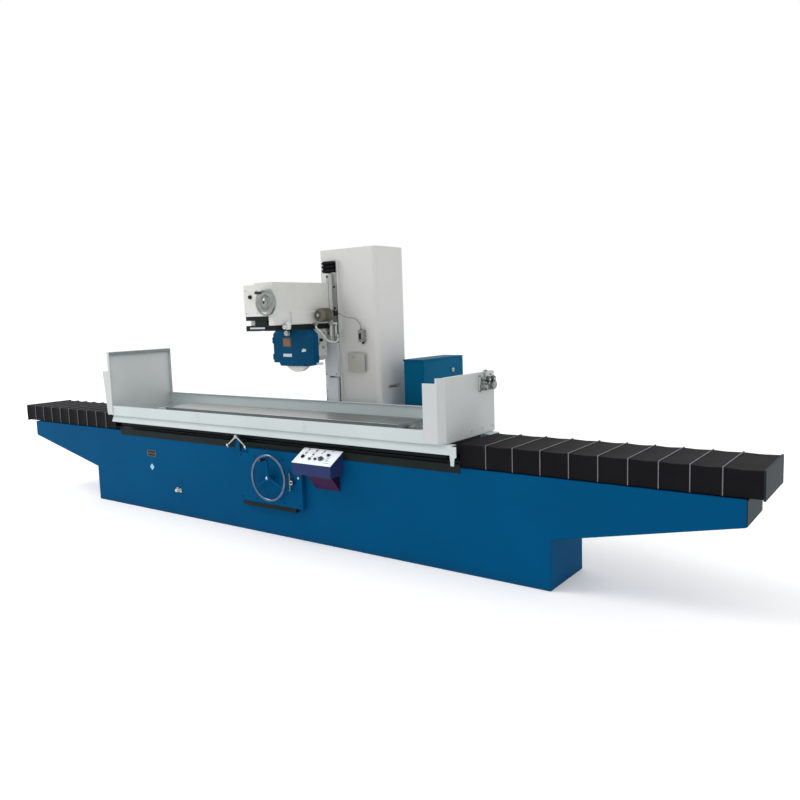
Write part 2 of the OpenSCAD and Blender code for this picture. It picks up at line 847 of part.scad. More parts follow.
// The cross slideway under the saddle, with the feed screw's end bearing in front.
module cross_rails() {
  gap = spindle_x;
  color("dimgrey") {
    difference() {
      block(saddle_x0, saddle_x1, cross_front, cross_back, cross_low, saddle_low);
      block(gap - neck / 2, gap + neck / 2, cross_front - 1, cross_back + 1, cross_low - 1, cross_low + 16);
      block(gap - head / 2, gap + head / 2, cross_front + 70, cross_back + 1, cross_low + 15,
        cross_low + 36);
      block(saddle_x0 + 30, saddle_x1 - 12, cross_front - 1, cross_front + 6, cross_low + 17,
        cross_low + 28);
    }
    block(-252, 10, saddle_front + 2, saddle_front + 58, 1726, nose_low);
    block(-150, -14, saddle_front + 6, saddle_front + 58, saddle_low, 1726);
  }
}

// The rapid traverse motor on the right side of the saddle.
motor_x = 150;
motor_z = 1755;
module feed_motor() {
  y0 = 240;
  y1 = 360;
  y2 = 460;
  color("dimgrey") {
    bar_y(motor_x, motor_z, y0 + 24, y1, 56);
    bar_y(motor_x, motor_z, y0 + 8, y0 + 24, 50);
    bar_y(motor_x, motor_z, y0, y0 + 8, 38);
    bar_y(motor_x, motor_z, y1, y1 + 14, 58);
    block(saddle_x1 + 12, motor_x - 10, y1 + 14, y2, motor_z - 44, motor_z + 44);
    block(saddle_x1 + 12, motor_x, y0 + 60, y1, motor_z - 16, motor_z + 16);
    block(motor_x - 20, motor_x + 36, y2 - 46, y2 - 2, motor_z - 10, motor_z + 34);
  }
}

// The moving upper section of the column's telescopic cover.
module upper_way_cover() {
  color("gainsboro")
    difference() {
      block(cover_x0, cover_x1, cover_front, rail_front - 1, cover_low, slide_low);
      block(cover_x0 + 3, cover_x1 - 3, cover_front + 3, rail_front, cover_low - 1, slide_low - 4);
    }
}

// The coolant pipes down the slide, and the fitting at the saddle's right edge.
module coolant_pipes() {
  color("white") {
    bar_z(92, 462, slide_low + 40, 1672, 11);
    bar_z(128, 486, slide_low + 40, 1690, 9);
    block(80, 142, 450, 496, 1672, 1690);
    block(right_rail + 4, 80, 484, 496, 1672, 1690);
    bar_z(160, 470, 1562, 1590, 13);
    block(137, 172, 478, 490, 1574, 1588);
    block(saddle_x1, 107, 258, 282, 1668, 1689);
    bar_z(100, -60, 1648, 1712, 25);
    block(saddle_x1, 100, -72, -48, 1662, 1684);
    bar_y(100, 1668, -112, -60, 14);
  }
}

module coolant_hose() {
  color("white")
    sweep(hose_route, hose_r);
}

module saddle_cable() {
  color("grey")
    sweep(cable_route, cable_r);
}

// The dished handwheel of the cross feed, with its crank handle.
module cross_handwheel() {
  y = saddle_front - 22;
  r = cross_wheel_diameter / 2;
  color("grey")
    translate([cross_wheel_x, y - 6, cross_wheel_z])
      rotate([90, 0, 0]) {
        rotate_extrude()
          polygon([[0, -40], [11, -40], [11, 0], [30, 0], [34, 10], [r - 24, 14], [r - 20, 8], [r, 8],
            [r, 34], [r - 16, 38], [r - 22, 26], [38, 24], [30, 40], [14, 44], [14, 38], [0, 38]]);
        translate([-r * 0.22, r * 0.72, 24])
          cylinder(h = 22, r = 6);
        translate([-r * 0.22, r * 0.72, 46])
          cylinder(h = 62, r1 = 11, r2 = 13);
      }
}

// The wheelhead: a bearing housing hung from a T slide.
module wheelhead_housing() {
  top = cross_low - tiny;
  corner = 40;
  x = spindle_x;
  w = house_half;
  motor_r = 96;
  color("lightgrey") {
    difference() {
      along_y([[x - w, house_low + corner], [x - w + corner, house_low], [x + w - corner, house_low],
        [x + w, house_low + corner], [x + w, top], [x - w, top]], guard_back, house_back);
      bar_y(x, spindle_height, guard_back - 1, shaft_back + 1, shaft_r + shaft_play);
    }
    block(x - neck / 2 + tiny, x + neck / 2 - tiny, guard_back, house_back, top, cross_low + 15 + tiny);
    block(x - head / 2 + tiny, x + head / 2 - tiny, guard_back, house_back, cross_low + 15 + tiny,
      cross_low + 36 - tiny);
  }
}

// Outline of the wheel guard, seen from the front.
function guard_outline() = [[-guard_half, -84], [-190, -84], [-172, -guard_down], [150, -guard_down],
  [165, -100], [guard_far, -100], [guard_far, guard_up - 45], [guard_far - 50, guard_up],
  [-guard_half + 40, guard_up], [-guard_half, guard_up - 35]];

// The guard: a box round the wheel, open below it.
module wheel_guard() {
  color("steelblue")
    difference() {
      translate([spindle_x, 0, spindle_height])
        along_y(guard_outline(), guard_front, guard_back);
      bar_y(spindle_x, spindle_height, guard_front - 1, guard_back - back_plate, guard_inner);
      bar_y(spindle_x, spindle_height, guard_front, guard_back + 1, shaft_r + 5);
    }
}

// The guard's front cover, on two hinges at its left edge.
module guard_cover() {
  edge = spindle_x - guard_half;
  color("steelblue") {
    difference() {
      translate([spindle_x, 0, spindle_height])
        along_y(guard_outline(), guard_front - 6, guard_front - tiny);
      bar_y(knob_x, knob_z, guard_front - 7, guard_front, 6.06);
    }
    for (z = [spindle_height - 60, spindle_height + 80])
      bar_z(edge - 4, guard_front - 6, z, z + 50, 6);
  }
}

// The clamping knob that holds the cover shut, with its screw in the cover.
knob_x = -150;
knob_z = 1612;
module cover_knob() {
  color("white") {
    difference() {
      bar_y(knob_x, knob_z, guard_front - 44, guard_front - 14, 24);
      for (k = [0 : 5])
        translate([knob_x, 0, knob_z])
          rotate([0, k * 60, 0])
            bar_y(28, 0, guard_front - 45, guard_front - 13, 7);
    }
    bar_y(knob_x, knob_z, guard_front - 14, guard_front - 6.2, 15);
    bar_y(knob_x, knob_z, guard_front - 6.2, guard_front - 1, 6);
  }
}

// The abrasive wheel.
module grinding_wheel() {
  color("white")
    difference() {
      bar_y(spindle_x, spindle_height, wheel_front, wheel_back, wheel_diameter / 2);
      bar_y(spindle_x, spindle_height, wheel_front - 1, wheel_back + 1, wheel_bore / 2);
    }
}

// The spindle, its two wheel flanges and the nut.
module spindle() {
  flange_r = wheel_bore / 2 + 26;
  color("silver") {
    bar_y(spindle_x, spindle_height, wheel_back, wheel_back + 5, flange_r);
    bar_y(spindle_x, spindle_height, wheel_back + 5, shaft_back, shaft_r);
    bar_y(spindle_x, spindle_height, wheel_front, wheel_back, wheel_bore / 2 - tiny);
    bar_y(spindle_x, spindle_height, wheel_front - 4, wheel_front, flange_r);
    bar_y(spindle_x, spindle_height, wheel_front - 7, wheel_front - 4, 24);
  }
}

// The thin rimmed handwheel on the apron.
module bed_handwheel() {
  r = bed_wheel_diameter / 2;
  rim = 11;
  spokes = 3;
  y = apron_front - 8;
  color("steelblue")
    translate([bed_wheel_x, y - 2, bed_wheel_z])
      rotate([90, 0, 0]) {
        translate([0, 0, -36])
          cylinder(h = 50, r = 15);
        cylinder(h = 62, r = 30);
        translate([0, 0, 46])
          rotate_extrude()
            translate([r - rim, 0])
              circle(r = rim);
        for (k = [0 : spokes - 1])
          rotate([0, 0, 95 + k * 360 / spokes])
            translate([0, 0, 44])
              rotate([0, 90, 0])
                cylinder(h = r - rim, r = 8);
        rotate([0, 0, 95])
          translate([r - rim - 26, 0, 44]) {
            cylinder(h = 22, r = 9);
            translate([0, 0, 22])
              cylinder(h = 58, r1 = 12, r2 = 14);
          }
      }
}

// The two armed lever that the table trips at each end of its stroke.
module reversing_lever() {
  arm = 132;
  droop = 36;
  color("silver")
    translate([trip_x, front - 14, trip_z])
      rotate([90, 0, 0]) {
        translate([0, 0, -12])
          cylinder(h = 13, r = 9);
        translate([0, 0, 1])
          cylinder(h = 20, r = 18);
        for (side = [0, 1])
          mirror([side, 0, 0])
            rotate([0, 0, -droop])
              translate([0, -6, 6]) {
                cube([arm, 12, 10]);
                translate([arm, 6, -3])
                  cylinder(h = 18, r = 12);
              }
      }
}

// The short lever that starts and stops the table.
module start_lever() {
  arm = 72;
  color("silver")
    translate([start_x, apron_front - 8, start_z])
      rotate([90, 0, 0]) {
        translate([0, 0, -30])
          cylinder(h = 30, r = 10);
        translate([0, 0, 1])
          cylinder(h = 26, r = 20);
        translate([0, 0, -1])
          cylinder(h = 3, r = 10);
        for (side = [-1, 1])
          translate([-22, 0, 14])
            rotate([side * -90, 0, 0])
              cylinder(h = arm, r = 8);
        translate([-22, 0, 14])
          rotate([0, 90, 0])
            cylinder(h = 22, r = 8);
      }
}

bed_casting();
way_rails();
rear_base();
column();
column_ways();
lower_way_cover();
fittings();
junction_box();
cabinet();
cabinet_door();
door_lock();
apron();
control_box();
control_face();
indicator_lamps();
bellows_end_plates();
bellows_left();
bellows_right();
column_bellows();
saddle_cable();
rib_frame_1();
rib_frame_2();
rib_frame_3();
rib_frame_4();
rib_frame_5();
rib_frame_6();
rib_frame_7();
rib_frame_8();
rib_frame_9();
table_casting();
magnetic_chuck();
table_skirt();
coolant_trough();
guard_left();
guard_right();
coolant_manifold();
valve_knob_a();
valve_knob_b();
saddle_slide();
saddle_box();
cross_rails();
feed_motor();
upper_way_cover();
coolant_pipes();
coolant_hose();
cross_handwheel();
wheelhead_housing();
wheel_guard();
guard_cover();
grinding_wheel();
spindle();
bed_handwheel();
reversing_lever();
start_lever();
estop();
selector();
button_a();
button_b();
button_c();
cover_knob();
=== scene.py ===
"""The looks of a long-table surface grinder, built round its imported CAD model.

Lengths in this script are millimetres, and MM turns them into Blender's metres.
"""

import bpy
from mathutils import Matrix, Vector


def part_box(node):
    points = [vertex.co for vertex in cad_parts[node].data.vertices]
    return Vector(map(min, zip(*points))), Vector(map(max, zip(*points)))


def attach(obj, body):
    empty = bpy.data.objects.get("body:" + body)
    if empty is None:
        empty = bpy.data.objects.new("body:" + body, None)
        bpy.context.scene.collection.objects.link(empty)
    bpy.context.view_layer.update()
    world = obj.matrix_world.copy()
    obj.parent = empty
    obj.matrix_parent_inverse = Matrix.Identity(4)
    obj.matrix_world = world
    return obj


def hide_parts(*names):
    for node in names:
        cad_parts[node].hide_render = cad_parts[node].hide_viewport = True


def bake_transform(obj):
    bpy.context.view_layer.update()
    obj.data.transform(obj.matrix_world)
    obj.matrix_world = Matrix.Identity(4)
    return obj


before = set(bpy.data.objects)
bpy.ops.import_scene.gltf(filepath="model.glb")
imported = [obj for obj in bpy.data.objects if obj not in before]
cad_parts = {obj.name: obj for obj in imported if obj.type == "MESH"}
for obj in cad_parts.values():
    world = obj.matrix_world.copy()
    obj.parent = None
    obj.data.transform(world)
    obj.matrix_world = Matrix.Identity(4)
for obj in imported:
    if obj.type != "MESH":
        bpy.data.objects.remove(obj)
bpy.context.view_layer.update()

import math
import random

import bmesh
import bpy
from mathutils import Matrix, Vector

MM = 0.001
FRONT, BACK, RIGHT, UP = (0, -1, 0), (0, 1, 0), (1, 0, 0), (0, 0, 1)
chance = random.Random(7)


# ---------------------------------------------------------------- finishes

def linear(colour, alpha=1.0):
    """An sRGB hex colour as the linear numbers a shader wants."""
    parts = [int(colour[i:i + 2], 16) / 255 for i in (1, 3, 5)]
    return [c / 12.92 if c <= 0.04045 else ((c + 0.055) / 1.055) ** 2.4 for c in parts] + [alpha]


def add(tree, kind, settings=(), links=()):
    """Adds a node, fills its sockets or properties, and links the sources given for its sockets."""
    made = tree.nodes.new(kind)
    for key, value in dict(settings).items():
        if isinstance(key, int) or key in made.inputs:
            made.inputs[key].default_value = value
        else:
            setattr(made, key, value)
    for key, source in dict(links).items():
        tree.links.new(source, made.inputs[key])
    return made


def finish(name, tone, shade, patch=40, contrast=0.25, rough=0.45, rough_swing=0.1, grain=3, depth=0.05,
           stretch=(1, 1, 1), metallic=0.0, specular=0.4, coat=0.0, weave=0, low_tint=None, **more):
    """A material of two near colours in patches, with a grain that moves its roughness and its surface.

    patch and grain are sizes in millimetres, depth is the height of the grain in millimetres,
    and stretch draws both out along an axis. weave is the spacing of crossed threads, and the last
    argument is (colour, height in millimetres) of a colour mixed into the lowest part, fading out upwards.
    """
    made = bpy.data.materials.new(name)
    made.use_nodes = True
    tree = made.node_tree
    shader = tree.nodes["Principled BSDF"]
    place = add(tree, "ShaderNodeTexCoord").outputs["Object"]
    drawn = add(tree, "ShaderNodeMapping", {"Scale": stretch}, {"Vector": place}).outputs["Vector"]
    blotch = add(tree, "ShaderNodeTexNoise", {"Scale": 1 / (patch * MM), "Detail": 4.0}, {"Vector": drawn})
    spread = add(tree, "ShaderNodeMapRange", {"From Min": 0.5 - contrast, "From Max": 0.5 + contrast},
                 {"Value": blotch.outputs["Fac"]})
    colour = add(tree, "ShaderNodeMixRGB", {"Color1": linear(shade), "Color2": linear(tone)},
                 {"Fac": spread.outputs["Result"]}).outputs["Color"]
    fine = add(tree, "ShaderNodeTexNoise", {"Scale": 1 / (grain * MM), "Detail": 3.0}, {"Vector": drawn})
    height = fine.outputs["Fac"]
    if weave:
        bands = [add(tree, "ShaderNodeTexWave", {"Scale": 0.314 / (weave * MM), "bands_direction": axis,
                                                 "Distortion": 0.4}, {"Vector": place}).outputs["Fac"]
                 for axis in "XYZ"]
        pair = add(tree, "ShaderNodeMath", {"operation": "MAXIMUM"}, {0: bands[0], 1: bands[1]})
        height = add(tree, "ShaderNodeMath", {"operation": "ADD"}, {0: pair.outputs[0],
                                                                    1: bands[2]}).outputs[0]
    # Mixes the given colour into the lowest part, strongest at the bottom and ragged at its top.
    if low_tint:
        high = add(tree, "ShaderNodeSeparateXYZ", links={"Vector": place}).outputs["Z"]
        ragged = add(tree, "ShaderNodeMath", {"operation": "MULTIPLY_ADD", 1: 0.05, 2: -0.025},
                     {0: blotch.outputs["Fac"]})
        level = add(tree, "ShaderNodeMath", {"operation": "ADD"}, {0: high, 1: ragged.outputs[0]})
        low = add(tree, "ShaderNodeMapRange", {"From Min": 0.0, "From Max": low_tint[1] * MM, "To Min": 0.55,
                                               "To Max": 0.0}, {"Value": level.outputs[0]})
        colour = add(tree, "ShaderNodeMixRGB", {"Color2": linear(low_tint[0])},
                     {"Fac": low.outputs["Result"], "Color1": colour}).outputs["Color"]
    swing = add(tree, "ShaderNodeMapRange", {"To Min": rough - rough_swing, "To Max": rough + rough_swing},
                {"Value": fine.outputs["Fac"]})
    bump = add(tree, "ShaderNodeBump", {"Strength": 0.6, "Distance": depth * MM}, {"Height": height})
    for socket, source in (("Base Color", colour), ("Roughness", swing.outputs["Result"]),
                           ("Normal", bump.outputs["Normal"])):
        tree.links.new(source, shader.inputs[socket])
    shader.inputs["Metallic"].default_value = metallic
    if not metallic:
        shader.inputs["Specular IOR Level"].default_value = specular
    shader.inputs["Coat Weight"].default_value = coat
    for socket, value in more.items():
        shader.inputs[socket.replace("_", " ")].default_value = value
    return made


# Two-pack enamel sprayed over filled cast iron: even, satin, with a faint orange peel, mixed darker towards
# the foot.
BED_BLUE = finish("sprayed_blue_enamel", "#004B76", "#00466E", patch=700, rough=0.5, grain=9, depth=0.12,
                  specular=0.02, low_tint=("#103F5E", 70))
# The same enamel in a greener batch on bought-in sheet steel: flatter, with less peel.
CABINET_BLUE = finish("sprayed_petrol_blue_enamel", "#00587C", "#004F70", patch=420, grain=9, depth=0.1,
                      specular=0.03)
# Enamel brushed on the wheel guard: deeper blue, with fine brush marks.
GUARD_BLUE = finish("brushed_on_deep_blue_enamel", "#00486C", "#003F60", patch=160, rough=0.42, grain=7,
                    depth=0.15, specular=0.05)
# Violet-blue enamel sprayed on the desk's box: darker and duller than the bed.
DESK_BLUE = finish("sprayed_violet_blue_enamel", "#24335F", "#202D56", patch=180, grain=6, depth=0.1,
                   specular=0.12)
# Maroon taken down to nearly black with red in it: painted shadow of the desk, on a bracket under it.
MAROON_PAINTED_SHADOW = finish("maroon_painted_desk_shadow", "#3A1640", "#2E1338", patch=120, rough=0.5, grain=6, specular=0.12)
# Pale grey enamel on the rubbed down column: soft sheen, wide clouding.
COLUMN_GREY = finish("sprayed_pale_grey_enamel", "#CDCDCC", "#C2C2C0", patch=900, grain=10, depth=0.1,
                     specular=0.35)
# The same grey on the saddle, yellowed a little by oil mist.
SADDLE_GREY = finish("sprayed_warm_grey_enamel", "#CFCFCC", "#C1C1BC", patch=500, rough=0.42, grain=8,
                     depth=0.1, specular=0.35)
# Folded sheet steel with a baked powder coat: cool grey, slightly rippled.
TROUGH_GREY = finish("powder_coated_sheet_steel", "#C2CBCB", "#B5BFC0", patch=600, grain=5, specular=0.3)
# Powder coat on the end guards: the same sheet in a more neutral grey.
GUARD_GREY = finish("powder_coated_guard_steel", "#BEC2C1", "#B2B7B7", patch=450, rough=0.42, grain=5)
# Powder coat on the thin way covers: bluish and smooth.
COVER_GREY = finish("powder_coated_way_cover", "#C3C7CC", "#B5BABF", patch=260, rough=0.4, grain=5)
# Iron ground on this very machine: bright, with fine marks drawn along the table.
GROUND_IRON = finish("ground_cast_iron", "#A9ADAD", "#8F9494", patch=90, rough=0.32, depth=0.02,
                     stretch=(0.06, 1, 1), metallic=1.0)
# Hardened slideway, ground upright: bright, its marks run up the column.
WAY_STEEL = finish("ground_slideway_steel", "#B9BBBC", "#9EA1A3", patch=120, rough=0.3, depth=0.02,
                   stretch=(1, 1, 0.06), metallic=1.0)
# Cast iron under an oily dark primer with green in it; its near black is partly painted shade, for the table
# casting and cross rails that sit in shadow.
DARK_PRIMER_AND_PAINTED_SHADE = finish("oiled_dark_primer_and_painted_shade", "#17211F", "#101718", patch=180, rough=0.6, grain=5,
                   depth=0.3, specular=0.12)
# Slideway under a film of oil, with a dull shine along it; its dark colour is painted shade for the shadow it
# sits in.
WAY_OILED_PAINTED_SHADE = finish("oiled_slideway_painted_shade", "#2B3032", "#1F2426", patch=150, rough=0.4, depth=0.02,
                   stretch=(0.06, 1, 1), metallic=0.5)
# A flat mid grey strip: painted shadow cast by the left guard's top lip on its inner face.
GUARD_LIP_PAINTED_SHADOW = finish("painted_shadow_under_guard_lip", "#7E8789", "#737C7E", patch=80, rough=0.6, specular=0.2)
# Zinc ribs as cast: dull grey with a fine skin.
GREY_CAST = finish("as_cast_zinc_rim", "#6F7471", "#5E6361", rough=0.55, depth=0.1, metallic=0.3)
# Blacked screws and fittings: black with a little oil sheen.
BLACK_STEEL = finish("blacked_steel", "#1D1F21", "#141618", patch=60, rough=0.5, specular=0.2)
# Rubber coated polyester: dull black, threads just standing through. A thread is 1 mm, drawn at 6.
BELLOWS_CLOTH = finish("rubber_coated_woven_polyester", "#100F12", "#0A090C", patch=240, rough=0.7, grain=8,
                       depth=0.25, specular=0.1, weave=6)
# Galvanised flat bar, dulled in a workshop: warm grey, faint spangle.
HOOP_STEEL = finish("galvanised_flat_steel_bar", "#77757A", "#636167", rough=0.5, grain=4, metallic=0.6)
# Folded plate in dark primer: teal black, flat.
PLATE_STEEL = finish("primed_folded_end_plate", "#14262D", "#101B21", patch=150, rough=0.55, grain=6,
                     specular=0.12)
# Turned and polished steel: bright, its tool marks too fine to see.
TURNED_STEEL = finish("turned_bright_steel", "#C9CCCE", "#ABAFB2", patch=30, rough=0.24, grain=2, depth=0.01,
                      metallic=1.0)
# Zinc plate on small screws and pipes: bright with pale blotches.
ZINC = finish("zinc_plated_steel", "#BFC2C0", "#9FA39F", patch=18, rough=0.36, grain=2, metallic=0.9)
# Chrome plate with sharp lights, its colour painted dark blue: a painted reflection of the blue bed.
CHROME_PAINTED_BLUE_REFLECTION = finish("chrome_with_painted_blue_reflection", "#66778C", "#4E5F75", rough=0.2, depth=0.01, metallic=1.0)
# Sand cast aluminium under olive paint: coarse skin, dull.
MOTOR_SKIN = finish("painted_sand_cast_aluminium", "#6C6C5F", "#5A5A4E", patch=50, rough=0.6, grain=4,
                    depth=0.5, specular=0.25)
# Die cast box under grey-brown paint: smooth and matt.
BOX_SKIN = finish("painted_die_cast_box", "#8B8B84", "#75756F", rough=0.5, grain=4, specular=0.35)
# Satin turned aluminium: grey, with a soft ring of light.
DIAL_METAL = finish("satin_turned_aluminium", "#9A9F9B", "#7F8581", patch=35, rough=0.34, grain=2,
                    depth=0.02, metallic=0.85)
# Black phenolic, moulded and buffed: deep and glossy.
PHENOLIC = finish("moulded_black_phenolic", "#16171A", "#0E0F11", patch=25, rough=0.25, depth=0.02,
                  specular=0.5, coat=0.2)
# Vitrified white alumina: chalky, with open pores the size of its 46 grit, drawn a little coarser.
ALUMINA = finish("vitrified_white_alumina", "#D9DAD6", "#C4C5C1", patch=14, rough=0.85, grain=2.5, depth=0.6,
                 specular=0.2)
# Cast brass left to tarnish: dull yellow.
BRASS = finish("cast_brass", "#B59A5B", "#97803F", patch=20, rough=0.35, grain=2, metallic=1.0)
# Etched aluminium plate, left blank: pale blue-grey.
LABEL_PALE = finish("etched_aluminium_plate", "#C3CBD2", "#A6B1BC", patch=12, rough=0.38, grain=2,
                    metallic=0.5)
# Screened plate in sky blue: flat and clean.
LABEL_SKY = finish("pale_blue_screened_plate", "#9CC7E6", "#83B4DA", patch=15, rough=0.4)
# Printed orange foil, faded by coolant: brown orange.
LABEL_ORANGE = finish("printed_orange_foil", "#8A5A34", "#75533B", patch=14)
# Copper plate with its patina: brown black, a faint shine.
LABEL_BROWN = finish("patinated_copper_plate", "#4C4A41", "#3A3F3F", patch=16, rough=0.5, metallic=0.4)
# Stove enamelled lid on the column: a darker, greyer patch.
LID_GREY = finish("stove_enamelled_lid", "#A9A8A2", "#9B9A94", patch=90, rough=0.5, grain=4, specular=0.35)
# Screen printed aluminium on the desk: near white and flat.
DESK_FACE = finish("screen_printed_aluminium", "#EEF3F8", "#E2EAF2", patch=60, rough=0.42)
# Printing ink: charcoal, no shine.
DESK_INK = finish("screen_printing_ink", "#2A3136", "#1E2529", patch=10, rough=0.6, grain=2, specular=0.3)
# Amber acrylic, moulded: glossy, bright in its own colour.
LENS_AMBER = finish("moulded_amber_acrylic", "#D98A2B", "#C4761D", patch=9, rough=0.15, grain=2,
                    specular=0.5, coat=0.6)
# Milky acrylic, moulded: glossy white.
LENS_CLEAR = finish("moulded_milky_acrylic", "#DDE4E2", "#C9D3D1", patch=9, rough=0.15, grain=2,
                    specular=0.5, coat=0.6)
# Red acrylic, moulded: glossy and deep.
LENS_RED = finish("moulded_red_acrylic", "#A3242A", "#8B1A20", patch=9, rough=0.15, grain=2, specular=0.5,
                  coat=0.6)
# Green nylon, moulded: soft gloss.
GO_GREEN = finish("moulded_green_nylon", "#2F6F4B", "#235A3B", patch=10, rough=0.35, grain=2, specular=0.5)
# Pale PVC hose, extruded: smooth, a little grey with dust.
HOSE_WHITE = finish("extruded_pale_pvc_hose", "#CBD0CC", "#B4BAB6", patch=30, rough=0.4, specular=0.5)
# Steel pipe painted white by hand: slightly uneven.
PIPE_WHITE = finish("painted_steel_pipe", "#D2D5D2", "#BFC3C0", patch=60, rough=0.4, specular=0.45)
# Grey PVC cable, extruded: plain and dull.
CABLE_GREY = finish("extruded_grey_pvc_cable", "#8F8F87", "#7C7C74", patch=20, rough=0.5, grain=2)
# Acrylic sight glass: a bright wet dot.
SIGHT_GLASS = finish("moulded_acrylic_sight_glass", "#DDE6F4", "#C7D3E6", patch=9, rough=0.1, grain=2,
                     specular=0.5, coat=0.8)
# The studio floor: matt, and almost white.
FLOOR = finish("matt_studio_floor", "#F6F6F6", "#F4F4F4", patch=1500, rough=0.95, grain=30, depth=0.1,
               specular=0.05, Emission_Color=(1, 1, 1, 1), Emission_Strength=0.14)


# ---------------------------------------------------------------- making pieces

def span(node):
    """Lowest and highest corner of a CAD node, in millimetres."""
    low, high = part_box(node)
    return low / MM, high / MM


def facing(at, out, up=(0, 0, 1)):
    """A place whose Z axis points out and whose Y axis is as near up as it can be."""
    z = Vector(out).normalized()
    x = Vector(up).cross(z)
    x = x.normalized() if x.length > 0.001 else Vector((1, 0, 0))
    turn = Matrix((x, z.cross(x), z)).transposed().to_4x4()
    return Matrix.Translation(Vector(at)) @ turn


def standing(at):
    """An upright place, its Y axis towards the back."""
    return facing(at, UP, BACK)


def round_place(place, angle, out=0.0, height=0.0):
    """A place moved out from an axis at an angle in degrees, without turning."""
    a = math.radians(angle)
    return place @ Matrix.Translation((math.cos(a) * out, math.sin(a) * out, height))


def turned_by(place, k, count):
    """A place turned about its Z axis to the k-th of so many even steps."""
    return place @ Matrix.Rotation(2 * math.pi * k / count, 4, "Z")


class Piece:
    """Collects solids, each with its own finish, and makes one object of them."""

    def __init__(self, name):
        self.name = name
        self.mesh = bmesh.new()
        self.finishes = []

    def take(self, solid, coat, place=None):
        """Adds a small mesh to the piece, in its finish, at its place."""
        if coat not in self.finishes:
            self.finishes.append(coat)
        for face in solid.faces:
            face.material_index = self.finishes.index(coat)
            face.smooth = True
        if place:
            bmesh.ops.transform(solid, matrix=place, verts=solid.verts)
        bmesh.ops.recalc_face_normals(solid, faces=solid.faces)
        carrier = bpy.data.meshes.new("carrier")
        solid.to_mesh(carrier)
        solid.free()
        self.mesh.from_mesh(carrier)
        bpy.data.meshes.remove(carrier)

    def block(self, coat, low, high, edge=1.5, steps=2, place=None):
        """A box between two corners, its edges rounded."""
        solid = bmesh.new()
        bmesh.ops.create_cube(solid, size=1)
        size = [b - a for a, b in zip(low, high)]
        middle = [(a + b) / 2 for a, b in zip(low, high)]
        for v in solid.verts:
            v.co = [m + c * s for m, c, s in zip(middle, v.co, size)]
        round_off(solid, min(edge, min(size) * 0.45), steps)
        self.take(solid, coat, place)

    def slab(self, coat, outline, low, high, edge=1.0, steps=2, place=None, sharp=0.6):
        """An outline in X and Y, pushed along Z from low to high, its corners and rims rounded."""
        solid = bmesh.new()
        foot = [solid.verts.new((x, y, low)) for x, y in outline]
        top = [solid.verts.new((x, y, high)) for x, y in outline]
        solid.faces.new(foot[::-1])
        solid.faces.new(top)
        for i in range(len(foot)):
            j = (i + 1) % len(foot)
            solid.faces.new((foot[i], foot[j], top[j], top[i]))
        if edge:
            round_off(solid, edge, steps, sharp)
        self.take(solid, coat, place)

    def turned(self, coat, profile, place, steps=40, ring=False):
        """A (radius, height) profile spun about the Z axis of its place, filled in unless it is a ring."""
        if not ring:
            profile = [(0, profile[0][1])] * (profile[0][0] > 0) + profile
            profile += [(0, profile[-1][1])] * (profile[-1][0] > 0)
        solid = bmesh.new()
        rings = []
        for radius, height in profile:
            if radius < 0.001:
                rings.append([solid.verts.new((0, 0, height))] * steps)
            else:
                rings.append([solid.verts.new((radius * math.cos(a), radius * math.sin(a), height))
                              for a in [2 * math.pi * k / steps for k in range(steps)]])
        pairs = list(zip(rings, rings[1:])) + ([(rings[-1], rings[0])] if ring else [])
        for one, two in pairs:
            for k in range(steps):
                corners = [one[k], one[(k + 1) % steps], two[(k + 1) % steps], two[k]]
                corners = [c for i, c in enumerate(corners) if c not in corners[:i]]
                if len(corners) > 2:
                    solid.faces.new(corners)
        self.take(solid, coat, place)

    def rod(self, coat, points, radius, sides=14, place=None, closed=False):
        """A round bar along points; radius may be one number or one for each point."""
        solid = bmesh.new()
        points = [Vector(p) for p in points]
        radii = radius if isinstance(radius, (list, tuple)) else [radius] * len(points)
        count = len(points)
        rings, side = [], None
        for i, point in enumerate(points):
            ahead = points[(i + 1) % count] if closed or i < count - 1 else point
            behind = points[i - 1] if closed or i else point
            along = (ahead - behind).normalized()
            if side is None:
                side = along.orthogonal().normalized()
            side = (side - along * side.dot(along)).normalized()
            other = along.cross(side)
            rings.append([solid.verts.new(point + radii[i] * (side * math.cos(a) + other * math.sin(a)))
                          for a in [2 * math.pi * k / sides for k in range(sides)]])
        pairs = list(zip(rings, rings[1:])) + ([(rings[-1], rings[0])] if closed else [])
        for one, two in pairs:
            for k in range(sides):
                solid.faces.new((one[k], one[(k + 1) % sides], two[(k + 1) % sides], two[k]))
        if not closed:
            solid.faces.new(rings[0][::-1])
            solid.faces.new(rings[-1])
        self.take(solid, coat, place)

    def screw(self, at, out, size, coat, proud):
        """A socket cap screw head with its hexagon."""
        self.turned(coat, [(size, 0), (size, proud - 0.8), (size - 0.8, proud), (size * 0.55, proud),
                           (size * 0.5, proud * 0.4)], facing(at, out), 12)

    def lobed(self, coat, radius, swell, lobes, steps, low, high, edge, place):
        """A knob whose rim swells into so many lobes."""
        rim = []
        for k in range(steps):
            a = 2 * math.pi * k / steps
            reach = radius + swell * math.cos(lobes * a)
            rim.append((reach * math.cos(a), reach * math.sin(a)))
        self.slab(coat, rim, low, high, edge[0], edge[1], place, 0.9)

    def made(self, body, replaces=(), slot=None, angle=38):
        """The finished object, riding on its body and standing for its CAD nodes."""
        bmesh.ops.scale(self.mesh, vec=(MM, MM, MM), verts=self.mesh.verts)
        data = bpy.data.meshes.new(self.name)
        self.mesh.to_mesh(data)
        self.mesh.free()
        for coat in self.finishes:
            data.materials.append(coat)
        data.set_sharp_from_angle(angle=math.radians(angle))
        thing = bpy.data.objects.new(self.name, data)
        bpy.context.scene.collection.objects.link(thing)
        even = thing.modifiers.new("even_shading", "WEIGHTED_NORMAL")
        even.keep_sharp = True
        if body:
            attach(thing, body)
        for node in replaces:
            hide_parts(node)
        return thing


